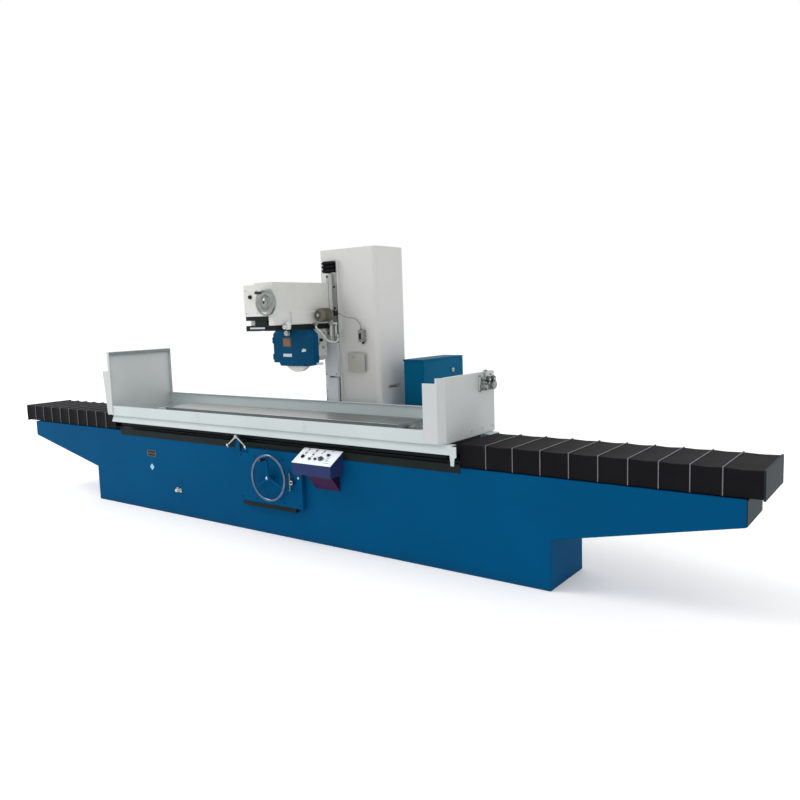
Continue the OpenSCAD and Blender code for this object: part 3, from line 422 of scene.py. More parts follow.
def round_off(solid, edge, steps, sharp=0.6):
    """Rounds every edge of a small mesh that turns by more than the sharp angle, in radians."""
    edges = [e for e in solid.edges if len(e.link_faces) == 2 and e.calc_face_angle(0) > sharp]
    if edge > 0.01 and edges:
        bmesh.ops.bevel(solid, geom=edges, offset=edge, segments=steps, profile=0.6, affect="EDGES",
                        clamp_overlap=True)


def smooth_path(points, per=6):
    """A soft curve through the points."""
    pts = [Vector(p) for p in points]
    pts = [2 * pts[0] - pts[1]] + pts + [2 * pts[-1] - pts[-2]]
    path = []
    for a, b, c, d in zip(pts, pts[1:], pts[2:], pts[3:]):
        for k in range(per):
            t = k / per
            path.append(0.5 * (2 * b + (c - a) * t + (2 * a - 5 * b + 4 * c - d) * t * t
                               + (3 * b - a - 3 * c + d) * t ** 3))
    return path + [pts[-2]]


def skin(solid, rows):
    """Closes rows of (outer, inner) corners into one sheet with a thickness; returns half its area in m2."""
    last = len(rows[0]) - 1
    for one, two in zip(rows, rows[1:]):
        for i in range(last):
            solid.faces.new((one[i][0], one[i + 1][0], two[i + 1][0], two[i][0]))
            solid.faces.new((one[i][1], two[i][1], two[i + 1][1], one[i + 1][1]))
        for i in (0, last):
            solid.faces.new((one[i][0], two[i][0], two[i][1], one[i][1]))
    for row in (rows[0], rows[-1]):
        for i in range(last):
            solid.faces.new((row[i][0], row[i][1], row[i + 1][1], row[i + 1][0]))
    return sum(face.calc_area() for face in solid.faces) / 2 * MM * MM


def ring_points(radius, count, height=0.0, start=0.0):
    """Points evenly round a circle in the XY plane."""
    return [(radius * math.cos(start + 2 * math.pi * k / count),
             radius * math.sin(start + 2 * math.pi * k / count), height) for k in range(count)]


def dress(node, coat, edge=0.0, steps=2):
    """Gives a CAD node its finish, and rounds its edges by so many millimetres."""
    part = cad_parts[node]
    part.data.materials.clear()
    part.data.materials.append(coat)
    if edge:
        weld = part.modifiers.new("weld", "WELD")
        weld.merge_threshold = 0.02 * MM
        flat = part.modifiers.new("flat_faces", "DECIMATE")
        flat.decimate_type = "DISSOLVE"
        flat.angle_limit = math.radians(0.5)
        soft = part.modifiers.new("rounded_edges", "BEVEL")
        soft.width = edge * MM
        soft.segments = steps
        soft.limit_method = "ANGLE"
        soft.angle_limit = math.radians(35)
        even = part.modifiers.new("even_shading", "WEIGHTED_NORMAL")
        even.keep_sharp = False


# ---------------------------------------------------------------- CAD pieces that keep their shape

for node, coat, edge in [
        ("bed_casting", BED_BLUE, 8), ("way_rails", WAY_OILED_PAINTED_SHADE, 1.5), ("rear_base", BED_BLUE, 8),
        ("column", COLUMN_GREY, 6), ("column_ways", WAY_STEEL, 1.5), ("lower_way_cover", COVER_GREY, 1),
        ("cabinet", CABINET_BLUE, 2), ("cabinet_door", CABINET_BLUE, 1.2), ("apron", BED_BLUE, 4),
        ("control_box", DESK_BLUE, 2), ("control_face", DESK_FACE, 1),
        ("bellows_end_plates", PLATE_STEEL, 1.5),
        ("table_casting", DARK_PRIMER_AND_PAINTED_SHADE, 2), ("magnetic_chuck", GROUND_IRON, 2), ("table_skirt", TROUGH_GREY, 1),
        ("coolant_trough", TROUGH_GREY, 1.5), ("guard_left", GUARD_GREY, 1.5),
        ("guard_right", GUARD_GREY, 1.5),
        ("saddle_slide", SADDLE_GREY, 2), ("saddle_box", SADDLE_GREY, 7), ("cross_rails", DARK_PRIMER_AND_PAINTED_SHADE, 1.5),
        ("upper_way_cover", COVER_GREY, 1), ("wheelhead_housing", SADDLE_GREY, 6),
        ("wheel_guard", GUARD_BLUE, 3),
        ("guard_cover", GUARD_BLUE, 1.5), ("grinding_wheel", ALUMINA, 1.5), ("spindle", TURNED_STEEL, 0.8)]:
    dress(node, coat, edge)
for k in range(1, 10):
    dress(f"rib_frame_{k}", HOOP_STEEL, 1)


# ---------------------------------------------------------------- folding way covers


def cloth_bay(name, x_fixed, x_moving, share_fixed, low, high, node):
    """One stretch of cloth between two hoops: a shallow fold."""
    wall, fold_side, fold_top, corner, across_steps = 3, 3.5, 4.5, 8, 10
    y0, y1, z0, z1 = low.y, high.y, low.z, high.z
    section = [(y0, z0 + (z1 - corner - z0) * k / 6, -1, 0) for k in range(7)]
    for k in range(1, 4):
        a = math.pi / 2 * k / 4
        section.append((y0 + corner * (1 - math.cos(a)), z1 - corner * (1 - math.sin(a)), -math.cos(a),
                        math.sin(a)))
    section += [(y0 + corner + (y1 - y0 - 2 * corner) * k / 16, z1, 0, 1) for k in range(17)]
    section += [(y0 + y1 - y, z, -ny, nz) for y, z, ny, nz in section[:10]][::-1]
    rows = []
    for k in range(across_steps + 1):
        t = k / across_steps
        x = x_fixed + (x_moving - x_fixed) * t
        dip = 1 - abs(2 * t - 1) ** 1.2
        row = []
        for i, (y, z, ny, nz) in enumerate(section):
            sag = dip * (fold_top * nz ** 2 + fold_side * (1 - nz ** 2))
            sag += dip * (chance.uniform(-0.5, 0.5) + 0.9 * math.sin(i * 0.55 + x_fixed * 0.03))
            row.append([(x, y - ny * d, z - nz * d) for d in (sag, sag + wall)])
        rows.append(row)
    piece = Piece(name)
    solid = bmesh.new()
    area = skin(solid, [[[solid.verts.new(p) for p in pair] for pair in row] for row in rows])
    piece.take(solid, BELLOWS_CLOTH)
    thing = piece.made(None, [node], "bellows_cloth", 60)
    if share_fixed == 0:
        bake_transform(thing)
    else:
        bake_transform(thing)


def make_bellows():
    """Ten bays of cloth on each side, from the end plate to the table."""
    half_bar, air, bays = 3, 0.2, 10
    for node, side in (("bellows_right", 1), ("bellows_left", -1)):
        low, high = span(node)
        hoops = [span(f"rib_frame_{k}") for k in range(1, bays)]
        marks = [high.x + half_bar + 3.8 if side > 0 else low.x - half_bar - 3.8]
        marks += [box[1].x - half_bar if side > 0 else box[0].x + half_bar for box in hoops]
        marks += [low.x - half_bar - 1 if side > 0 else high.x + half_bar + 1]
        for k, (outer, inner) in enumerate(zip(marks, marks[1:])):
            step = side * (half_bar + air)
            cloth_bay(f"{node}_bay_{k + 1}", outer - step, inner + step, k / bays, low, high,
                      node)


def make_column_bellows():
    """Three deep folds of cloth between the slide and the head of the column."""
    low, high = span("column_bellows")
    folds, wall, corner = 3, 3, 5
    rise = (high.z + 8 - low.z + 4) / folds
    back, front = high.y, low.y
    piece = Piece("column_bellows_cloth")
    profile = []
    for k in range(folds):
        base = low.z - 4 + k * rise
        profile += [(back - corner, base), (front + corner, base + rise * 0.22), (front, base + rise * 0.35),
                    (front, base + rise * 0.68), (front + corner, base + rise * 0.8),
                    (back - corner, base + rise)]
    solid = bmesh.new()
    rows = []
    for k in range(7):
        x = low.x + (high.x - low.x) * k / 6
        outer = [solid.verts.new((x, y + chance.uniform(-0.6, 0.6), z)) for y, z in profile]
        inner = [solid.verts.new((x, min(y + wall * 1.4, back), z)) for y, z in profile]
        rows.append(list(zip(outer, inner)))
    area = skin(solid, rows)
    piece.take(solid, BELLOWS_CLOTH)
    thing = piece.made(None, ["column_bellows"], "bellows_cloth", 50)
    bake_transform(thing)


# ---------------------------------------------------------------- fixed pieces on the bed

def make_bed_fittings():
    """Blank plates, the oil sight glass and the drain cock on the bed; the lid on the column."""
    low, high = span("fittings")
    bed_front = span("bed_casting")[0].y
    apron_front = span("apron")[0].y + 8
    column_front = span("column")[0].y
    piece = Piece("bed_plates")
    x, z = low.x, high.z - 920
    piece.block(LABEL_BROWN, (x, bed_front - 1.6, z), (x + 131, bed_front, z + 61), 0.8)
    for row in range(2):
        piece.block(DARK_PRIMER_AND_PAINTED_SHADE, (x + 14, bed_front - 2.2, z + 10 + row * 26),
                    (x + 117, bed_front - 1, z + 24 + row * 26), 0.4)
    for dx in (6, 125):
        piece.screw((x + dx, bed_front - 1.6, z + 30), FRONT, 3, ZINC, 1.5)
    side = 31
    piece.slab(LABEL_SKY, [(-side, 0), (0, -side), (side, 0), (0, side)], 0, 1.8, 0.5,
               place=facing((x + 63, bed_front, z - 97), FRONT))
    piece.made("bed", ["fittings"], "face_white")

    lid = Piece("column_lid")
    x1, z1 = high.x, high.z
    x0, z0 = x1 - 184, z1 - 159
    lid.block(LID_GREY, (x0, column_front - 3, z0), (x1, column_front, z1), 1.2)
    lid.turned(ZINC, [(9, 0), (9, 3), (7, 5)], facing((x0 + 62, column_front - 3, z1 - 34), FRONT), 20)
    lid.block(BLACK_STEEL, (x0 + 61, column_front - 8.3, z1 - 38), (x0 + 63, column_front - 7.6, z1 - 30),
              0.2)
    for dx in (10, 174):
        for dz in (10, 149):
            lid.screw((x0 + dx, column_front - 3, z0 + dz), FRONT, 4, ZINC, 2)
    lid.made("bed", ["fittings"], "light_paint")

    cock = Piece("drain_cock")
    at = Vector((low.x + 419, bed_front, low.z + 20))
    place = facing(at, FRONT)
    cock.turned(PIPE_WHITE, [(17, 0), (17, 4), (12, 6), (12, 12), (15, 13), (15, 21), (9, 23), (9, 26)],
                place)
    cock.rod(ZINC, [(at.x, at.y - 17, at.z + 10), (at.x + 6, at.y - 17, at.z + 22),
                    (at.x + 18, at.y - 17, at.z + 28),
                    (at.x + 36, at.y - 17, at.z + 29)], [4, 4, 4, 5], 10)
    plug = facing((low.x + 458, bed_front, low.z + 20), FRONT)
    cock.slab(ZINC, [(x, y) for x, y, z in ring_points(15, 6)], 4, 10, 0.8, place=plug, sharp=0.3)
    cock.turned(ZINC, [(20, 0), (20, 3), (18, 4)], plug)
    cock.made("bed", ["fittings"], "satin_steel")

    glass = Piece("oil_sight_glass")
    place = facing((358, apron_front, 509), FRONT)
    glass.turned(BRASS, [(11, 0), (11, 3), (9, 5), (7, 5), (7, 2)], place, 28)
    glass.turned(SIGHT_GLASS, [(7, 2.2), (7, 5), (5, 7), (2.5, 7.8), (0, 8)], place, 28)
    glass.made("bed", ["fittings"], "face_white")


def make_junction_box():
    """A cast box with a lid, four screws, a knock-out and the cable's gland."""
    low, high = span("junction_box")
    box = Piece("junction_box_casting")
    z0 = high.z - 103
    box.block(BOX_SKIN, (low.x + 3, low.y + 6, z0 + 3), (high.x - 3, high.y, high.z - 3), 4, 3)
    box.block(BOX_SKIN, (low.x, low.y, z0), (high.x, low.y + 6, high.z), 2.5, 3)
    box.block(BLACK_STEEL, (low.x + 9, low.y - 2, z0 + 22), (low.x + 33, low.y + 1, z0 + 74), 1.5)
    for x in (low.x + 7, high.x - 7):
        for z in (z0 + 7, high.z - 7):
            box.screw((x, low.y, z), FRONT, 4, ZINC, 2.5)
    gland = facing((high.x - 18, high.y - 24, z0 + 3), (0, 0, -1), BACK)
    box.turned(BLACK_STEEL, [(12, 0), (12, 9), (10, 10), (10, 15), (8, 20), (5, 22)], gland, 24)
    box.turned(BLACK_STEEL, [(4, 0), (9, 0), (9, 5), (7, 9), (5, 11), (4, 11)],
               standing((low.x + 18, high.y - 30, high.z - 3)), 20, ring=True)
    box.made("bed", ["junction_box"], "motor_paint")


def make_cable():
    """The grey cable that hangs from the feed motor's terminal box to the junction box."""
    route = [(165, 464, 1768), (190, 466, 1764), (220, 470, 1745), (250, 500, 1728), (285, 522, 1722),
             (325, 524, 1708), (356, 524, 1680), (372, 522, 1650), (376, 520, 1623)]
    line = smooth_path(route, 6)
    piece = Piece("motor_cable")
    piece.rod(CABLE_GREY, line, 4, 12)
    thing = piece.made(None, ["saddle_cable"], "grey_pvc", 60)
    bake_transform(thing)


def make_cabinet_details():
    """The lock, the louvres and the cable glands of the electrical cabinet."""
    lock = Piece("cabinet_lock")
    face = span("cabinet_door")[1].x - 3
    at = Vector((face, 1141, 1248))
    place = facing(at, RIGHT)
    lock.turned(ZINC, [(19, 0), (19, 3), (17, 6), (15, 10), (9, 11), (9, 8)], place, 32)
    lock.block(BLACK_STEEL, (at.x + 8, at.y - 2, at.z - 7), (at.x + 9, at.y + 2, at.z + 7), 0.3)
    lock.made("lock", ["door_lock"], "satin_steel")
    door = Piece("cabinet_louvres")
    for k in range(5):
        z = 220 + k * 34
        door.block(CABINET_BLUE, (face - 1, 880, z + 9), (face + 8, 1060, z + 13), 1.5)
        door.block(CABINET_BLUE, (face + 4, 880, z - 3), (face + 8, 1060, z + 12), 1.5)
    door.made("door", [], "cabinet_paint")
    roof = span("cabinet")[1]
    back = Piece("cabinet_glands")
    for k in range(3):
        spot = facing((720 + k * 50, roof.y - 8, 180), BACK)
        back.turned(BLACK_STEEL, [(17, 0), (17, 7), (13, 8), (13, 16), (9, 22)], spot, 20)
    back.made("bed", [], "bed_paint")


def make_desk():
    """The push buttons, lamps, rotary switch and printed marks of the control desk."""
    low, high = span("control_face")
    left, wide, tilt = low.x + 3, high.x - low.x - 6, math.radians(30)
    top_edge = Vector((left, span("control_box")[1].y, 745))
    along = Vector((0, -math.cos(tilt), -math.sin(tilt)))
    out = Vector((0, -math.sin(tilt), math.cos(tilt)))
    deep = 147 / math.cos(tilt)

    def spot(u, v, height=3.0):
        """A place on the desk: u to the right, v down the slope."""
        at = top_edge + Vector((u * wide, 0, 0)) + along * v * deep + out * height
        return facing(at, out, -along)

    marks = Piece("desk_marks")
    rows = ((0.06, (0.16, 0.38, 0.57, 0.78)), (0.27, (0.16, 0.37, 0.56)),
            (0.52, (0.155, 0.37, 0.51, 0.65, 0.8)))
    for v, places in rows:
        for u in places:
            marks.block(DESK_INK, (-13, -2.2, 0), (13, 2.2, 0.5), 0.2, 1, spot(u, v))
    for u in (0.27, 0.46, 0.68):
        marks.block(DESK_INK, (-0.8, -16, 0), (0.8, 16, 0.5), 0.2, 1, spot(u, 0.24))
    marks.block(DESK_INK, (-26, -1.5, 0), (26, 1.5, 0.5), 0.2, 1, spot(0.84, 0.84))
    for u in (0.03, 0.97):
        for v in (0.06, 0.94):
            marks.turned(ZINC, [(4, 0), (4, 1.2), (2.6, 2.2)], spot(u, v), 16)
    for angle in range(-60, 61, 30):
        turn = Matrix.Rotation(math.radians(angle), 4, "Z")
        marks.block(DESK_INK, (-0.7, 19, 0), (0.7, 24, 0.5), 0.2, 1, spot(0.155, 0.6) @ turn)
    marks.made("bed", [], "face_white")

    lamps = Piece("desk_lamps")
    spots = ((0.16, 0.14, LENS_CLEAR), (0.38, 0.16, LENS_AMBER), (0.57, 0.16, LENS_CLEAR),
             (0.16, 0.36, LENS_AMBER),
             (0.37, 0.4, LENS_RED), (0.8, 0.68, LENS_CLEAR))
    for u, v, lens in spots:
        lamps.turned(TURNED_STEEL, [(6.5, 0), (11, 0), (11, 1.5), (9.5, 3.5), (6.5, 3.5)], spot(u, v), 28,
                     ring=True)
        lamps.turned(lens, [(7.5, 0), (7.5, 4), (6.6, 7), (4, 9), (0, 9.8)], spot(u, v), 28)
    lamps.made("bed", ["indicator_lamps"], "lamp_amber")

    for name, body, node, u, v, r, high_cap, coat in (
            ("button_green", "push_a", "button_a", 0.37, 0.7, 11, 6, GO_GREEN),
            ("button_black", "push_b", "button_b", 0.51, 0.68, 11, 6, PHENOLIC),
            ("button_wide", "push_c", "button_c", 0.76, 0.36, 13, 6, PHENOLIC)):
        cap = Piece(name)
        base = spot(u, v, 9)
        cap.turned(coat, [(6.6, -18), (6.6, -1), (r - 1, 0), (r, 1), (r, high_cap - 1.5),
                          (r - 1.5, high_cap), (r - 5, high_cap - 0.8), (0, high_cap - 1)], base, 32)
        cap.made(body, [node], "black_plastic")
        collar = Piece(name + "_collar")
        collar.turned(TURNED_STEEL, [(r + 0.5, 0), (r + 3, 0), (r + 3, 2.5), (r + 1.8, 4), (r + 0.5, 4)],
                      spot(u, v),
                      32, ring=True)
        collar.made("bed", [], "satin_steel")

    stop = Piece("stop_button_head")
    stop.turned(PHENOLIC, [(6.6, -18), (6.6, -0.2), (11, 0), (17, 1), (19, 3), (19.2, 8), (17.5, 11.5),
                           (12, 13), (0, 13.6)], spot(0.65, 0.64, 9), 40)
    stop.made("stop_button", ["estop"], "black_plastic")
    collar = Piece("stop_button_collar")
    collar.turned(TURNED_STEEL, [(20, 0), (23, 0), (23, 2), (21.8, 3), (20, 3)], spot(0.65, 0.64), 36,
                  ring=True)
    collar.made("bed", [], "satin_steel")

    switch = Piece("rotary_switch_knob")
    base = spot(0.155, 0.6, 3.1)
    switch.turned(PHENOLIC, [(6.6, -18), (6.6, 0.3), (16, 0.3), (16, 4), (14.5, 6)], base, 36)
    switch.block(PHENOLIC, (-4, -15, 5), (4, 15, 17), 2.4, 3, base)
    switch.block(LENS_CLEAR, (-0.8, 6, 16.6), (0.8, 14, 17.4), 0.3, 1, base)
    switch.made("rotary_switch", ["selector"], "black_plastic")

    edge_box = span("control_box")
    # A bracket under the desk in near black maroon: painted shadow of the desk.
    rim = Piece("desk_bracket_painted_shadow")
    x0, x1 = edge_box[0].x + 96, edge_box[1].x - 40
    y = edge_box[1].y
    rim.slab(MAROON_PAINTED_SHADOW, [(y - 0.5, 440), (y - 0.5, 569), (y - 94, 569), (y - 94, 560)], x0, x1, 2,
             place=Matrix(((0, 0, 1, 0), (1, 0, 0, 0), (0, 1, 0, 0), (0, 0, 0, 1))))
    rim.made("bed", [], "desk_paint")


def knob_ball(piece, coat, place, r=15):
    """A ball knob on a short neck."""
    profile = [(0, 0), (r * 0.45, 0), (r * 0.45, r * 0.3)]
    for k in range(1, 9):
        a = -math.pi / 2 + math.pi * k / 8 * 0.98 + 0.35 * (1 - k / 8)
        profile.append((max(r * math.cos(a), 0.01 if k < 8 else 0), r * 1.2 + r * math.sin(a)))
    profile[-1] = (0, profile[-1][1])
    piece.turned(coat, profile, place, 28)


def make_levers():
    """The bed handwheel, the start lever and the reversing lever."""
    low, high = span("bed_handwheel")
    middle = (low + high) / 2
    face = span("apron")[0].y
    r = (high.x - low.x) / 2
    y = face - 2
    place = facing((middle.x, y, middle.z), FRONT)
    wheel = Piece("bed_handwheel_rim")
    rim = 11
    wheel.rod(CHROME_PAINTED_BLUE_REFLECTION, ring_points(r - rim, 64, 46), rim, 16, place, closed=True)
    wheel.turned(BED_BLUE, [(30, 0), (30, 8), (26, 12), (26, 46), (30, 50), (28, 58), (20, 62)], place)
    wheel.turned(TURNED_STEEL, [(15, -36), (15, 0)], place, 24)
    wheel.turned(TURNED_STEEL, [(11, 62), (11, 66), (8, 69)], place, 24)
    for k in range(3):
        a = math.radians(95 + k * 120)
        spoke = [(math.cos(a) * d, math.sin(a) * d, 40 + 6 * d / r) for d in (20, 60, 110, r - rim)]
        wheel.rod(BED_BLUE, spoke, [13, 11, 9, 9], 14, place)
    grip = round_place(place, 95, r - rim - 26, 44)
    wheel.turned(BED_BLUE, [(16, 0), (16, 8), (13, 12)], grip, 24)
    wheel.turned(TURNED_STEEL, [(9, 12), (9, 22)], grip, 24)
    wheel.turned(PHENOLIC, [(9, 21), (12, 25), (11, 40), (13, 56), (14, 70), (11, 78), (5, 80)],
                 grip, 28)
    wheel.made("bed_wheel", ["bed_handwheel"], "bed_paint")

    boss = Piece("apron_details")
    boss.turned(BED_BLUE, [(32, 0), (52, 0), (52, 3), (46, 6), (32, 6)],
                facing((middle.x, face + 8, middle.z), FRONT), 48, ring=True)
    a_low = span("apron")[0]
    bed_front = span("bed_casting")[0].y
    for x in (-285, -120, 190, 365):
        for z in (292, 640):
            boss.screw((x, face + 8, z), FRONT, 8, BED_BLUE, 5)
    # A dark block along the apron's bottom edge: painted shadow under the apron.
    boss.block(DARK_PRIMER_AND_PAINTED_SHADE, (-280, face + 6, a_low.z - 34), (316, face + 46, a_low.z - 1), 3)
    # A dark band along the top of the bed's front, under the table: painted shadow of the table's skirt.
    strip = span("table_casting")
    boss.block(DARK_PRIMER_AND_PAINTED_SHADE, (strip[0].x + 40, bed_front - 3, 684), (strip[1].x + 130, bed_front + 2, 742), 1.5)
    boss.made("bed", [], "bed_paint")

    start = Piece("start_lever_arm")
    s_low, s_high = span("start_lever")
    at = Vector((s_high.x - 20, face, (s_low.z + s_high.z) / 2))
    place = facing(at, FRONT)
    start.turned(TURNED_STEEL, [(10, -30), (10, 0), (20, 1), (20, 22), (17, 27)], place, 32)
    start.rod(TURNED_STEEL, [(at.x, at.y - 14, at.z), (at.x - 22, at.y - 14, at.z)], 7, 14)
    bar = [(at.x - 22, at.y - 14, at.z + z) for z in (-54, -20, 20, 54)]
    start.rod(CHROME_PAINTED_BLUE_REFLECTION, bar, [8, 10, 10, 8], 16)
    for side in (-1, 1):
        knob_ball(start, CHROME_PAINTED_BLUE_REFLECTION, facing((at.x - 22, at.y - 14, at.z + side * 46), (0, 0, side), BACK), 12)
    start.block(PHENOLIC, (at.x - 14, at.y - 27, at.z - 13), (at.x + 20, at.y - 2, at.z + 13), 6, 3)
    start.made("table_lever", ["start_lever"], "satin_steel")

    trip = Piece("reversing_lever_arms")
    t_low, t_high = span("reversing_lever")
    pivot = Vector(((t_low.x + t_high.x) / 2, span("bed_casting")[0].y - 14, 784))
    place = facing(pivot, FRONT)
    trip.turned(ZINC, [(9, -12), (9, 0.5), (18, 1), (18, 17), (15, 21), (8, 21), (8, 24)], place, 28)
    for side in (-1, 1):
        angle = -36 if side > 0 else 180 + 36
        a = math.radians(angle)
        tip = [(math.cos(a) * d, math.sin(a) * d, 11) for d in (8, 60, 118, 132)]
        trip.rod(ZINC, tip, [9, 7, 6, 6], 14, place)
        end = round_place(place, angle, 132)
        trip.turned(TURNED_STEEL, [(10, 3), (12, 5), (12, 18), (10, 21)], end, 28)
        trip.rod(ZINC, [end @ Vector((0, 0, 12)), end @ Vector((0, 0, 12)) + Vector((0, 0, -19))], 6, 14)
    trip.made("trip_lever", ["reversing_lever"], "satin_steel")


# ---------------------------------------------------------------- pieces on the table

def make_manifold():
    """The coolant manifold on the right guard: two valves, two round covers and their unions."""
    low = span("coolant_manifold")[0]
    x0, y, z = low.x, low.y + 76, low.z + 92
    body = Piece("coolant_manifold_body")
    body.block(GUARD_GREY, (x0, y - 74, z - 90), (x0 + 8, y + 94, z + 32), 3, 3)
    body.block(DIAL_METAL, (x0 + 8, y - 46, z - 60), (x0 + 34, y + 62, z - 38), 6, 3)
    for side in (-1, 1):
        at = facing((x0 + 8, y + side * 33, z), RIGHT)
        body.turned(DIAL_METAL, [(6.2, 0), (18, 0), (18, 10), (15, 13), (15, 30), (13, 38), (6.2, 38)], at,
                    32, ring=True)
        body.rod(DIAL_METAL, [(x0 + 22, y + side * 33, z - 52), (x0 + 22, y + side * 33, z - 10)], 11, 18)
        for dz in (-34, -20):
            body.turned(ZINC, [(14, -5), (15, 0), (14, 5)],
                        standing((x0 + 22, y + side * 33, z + dz)), 6)
    for dy, dz, r in ((74, -47, 38), (-36, -55, 27)):
        at = facing((x0 + 8, y + dy, z + dz), RIGHT)
        body.turned(DIAL_METAL, [(r, 0), (r + 1, 4), (r, 12), (r - 2, 16), (r - 2, 36), (r - 6, 43),
                                 (r * 0.6, 46), (r * 0.5, 43), (0, 42)], at, 40)
        for k in range(6):
            px, py, pz = ring_points(r * 0.72, 6, 44)[k]
            body.turned(BLACK_STEEL, [(3, 0), (3, 3)], at @ Matrix.Translation((px, py, pz - 2)), 8)
    body.rod(ZINC, smooth_path([(x0 + 20, y + 2, z - 58), (x0 + 20, y + 2, z - 10), (x0 + 18, y + 2, z + 40),
                                (x0 + 18, y + 2, z + 64)], 4), 8, 16)
    body.turned(DIAL_METAL, [(13, 0), (13, 12), (10, 15)],
                standing((x0 + 18, y + 2, z + 50)), 6)
    for dy in (-66, 86):
        for dz in (-82, 24):
            body.screw((x0 + 8, y + dy, z + dz), RIGHT, 6, BLACK_STEEL, 4)
    body.made("table", ["coolant_manifold"], "satin_steel")
    for name, part, node, side in (("valve_grip_front", "valve_a", "valve_knob_a", -1),
                                   ("valve_grip_back", "valve_b", "valve_knob_b", 1)):
        grip = Piece(name)
        at = facing((x0 + 46.5, y + side * 33, z), RIGHT)
        grip.turned(TURNED_STEEL, [(6, -14), (6, 0)], at, 20)
        grip.lobed(PHENOLIC, 20, 1.6, 8, 48, 0.5, 25, (1.6, 2), at)
        grip.turned(TURNED_STEEL, [(8, 24.5), (8, 26), (6, 27.3)], at, 20)
        grip.made(part, [node], "black_plastic")


def make_table_details():
    """The chuck's poles and clamps, the terminal box, the guards' bolts and the trough's joints."""
    trough_low, trough_high = span("coolant_trough")
    chuck_low, chuck_high = span("magnetic_chuck")
    poles = Piece("chuck_poles")
    pitch, count = 50, int((chuck_high.x - chuck_low.x - 60) / 50)
    for k in range(count):
        x = chuck_low.x + 40 + k * pitch
        poles.block(BRASS if k % 2 else DIAL_METAL, (x, chuck_low.y + 14, chuck_high.z - 1),
                    (x + 7, chuck_high.y - 14, chuck_high.z + 0.12), 0.1, 1)
    poles.made("table", [], "ground_iron")
    clamps = Piece("chuck_clamps")
    for k in range(7):
        x = chuck_low.x + 120 + k * (chuck_high.x - chuck_low.x - 240) / 6
        for y, side in ((chuck_low.y, -1), (chuck_high.y, 1)):
            y0, y1 = sorted((y - side * 6, y + side * 20))
            y1 = min(y1, trough_high.y - 20)
            clamps.block(GROUND_IRON, (x - 22, y0, trough_low.z + 5.2), (x + 22, y1, trough_low.z + 24), 3)
            clamps.screw((x, y + side * 9, trough_low.z + 24), UP, 9, ZINC, 8)
    clamps.made("table", [], "ground_iron")
    cable_box = Piece("chuck_terminal_box")
    x = chuck_high.x
    cable_box.block(BOX_SKIN, (x + 1, chuck_low.y + 120, trough_low.z + 8),
                    (x + 44, chuck_low.y + 180, trough_low.z + 50),
                    5, 3)
    for dy in (130, 170):
        cable_box.screw((x + 24, chuck_low.y + dy, trough_low.z + 50), UP, 5, ZINC, 3)
    cable_box.made("table", [], "ground_iron")

    bolts = Piece("guard_bolts")
    left_low, left_high = span("guard_left")
    right_low, right_high = span("guard_right")
    for k in range(5):
        y = left_low.y + 50 + k * (left_high.y - left_low.y - 100) / 4
        bolts.screw((left_high.x - 24, y, left_low.z + 40), RIGHT, 7, GUARD_GREY, 5)
        bolts.screw((right_high.x, y + 20, right_low.z + 40), RIGHT, 7, GUARD_GREY, 4)
    # A mid grey strip below the left guard's top edge: painted shadow of its lip.
    bolts.block(GUARD_LIP_PAINTED_SHADOW, (left_high.x - 2, left_low.y + 14, left_high.z - 34),
                (left_high.x + 2, left_high.y - 8, left_high.z - 5), 1)
    bolts.made("table", [], "satin_steel")

    seam = Piece("trough_joints")
    joints = 3
    for k in range(1, joints):
        x = trough_low.x + k * (trough_high.x - trough_low.x) / joints
        seam.block(TROUGH_GREY, (x - 18, trough_low.y - 1.2, trough_low.z + 8),
                   (x + 18, trough_low.y + 0.5, trough_low.z + 82), 0.5)
        for dz in (18, 45, 72):
            seam.screw((x, trough_low.y - 1.2, trough_low.z + dz), FRONT, 4, ZINC, 2)
    seam.made("table", [], "light_paint")


# ---------------------------------------------------------------- pieces on the saddle

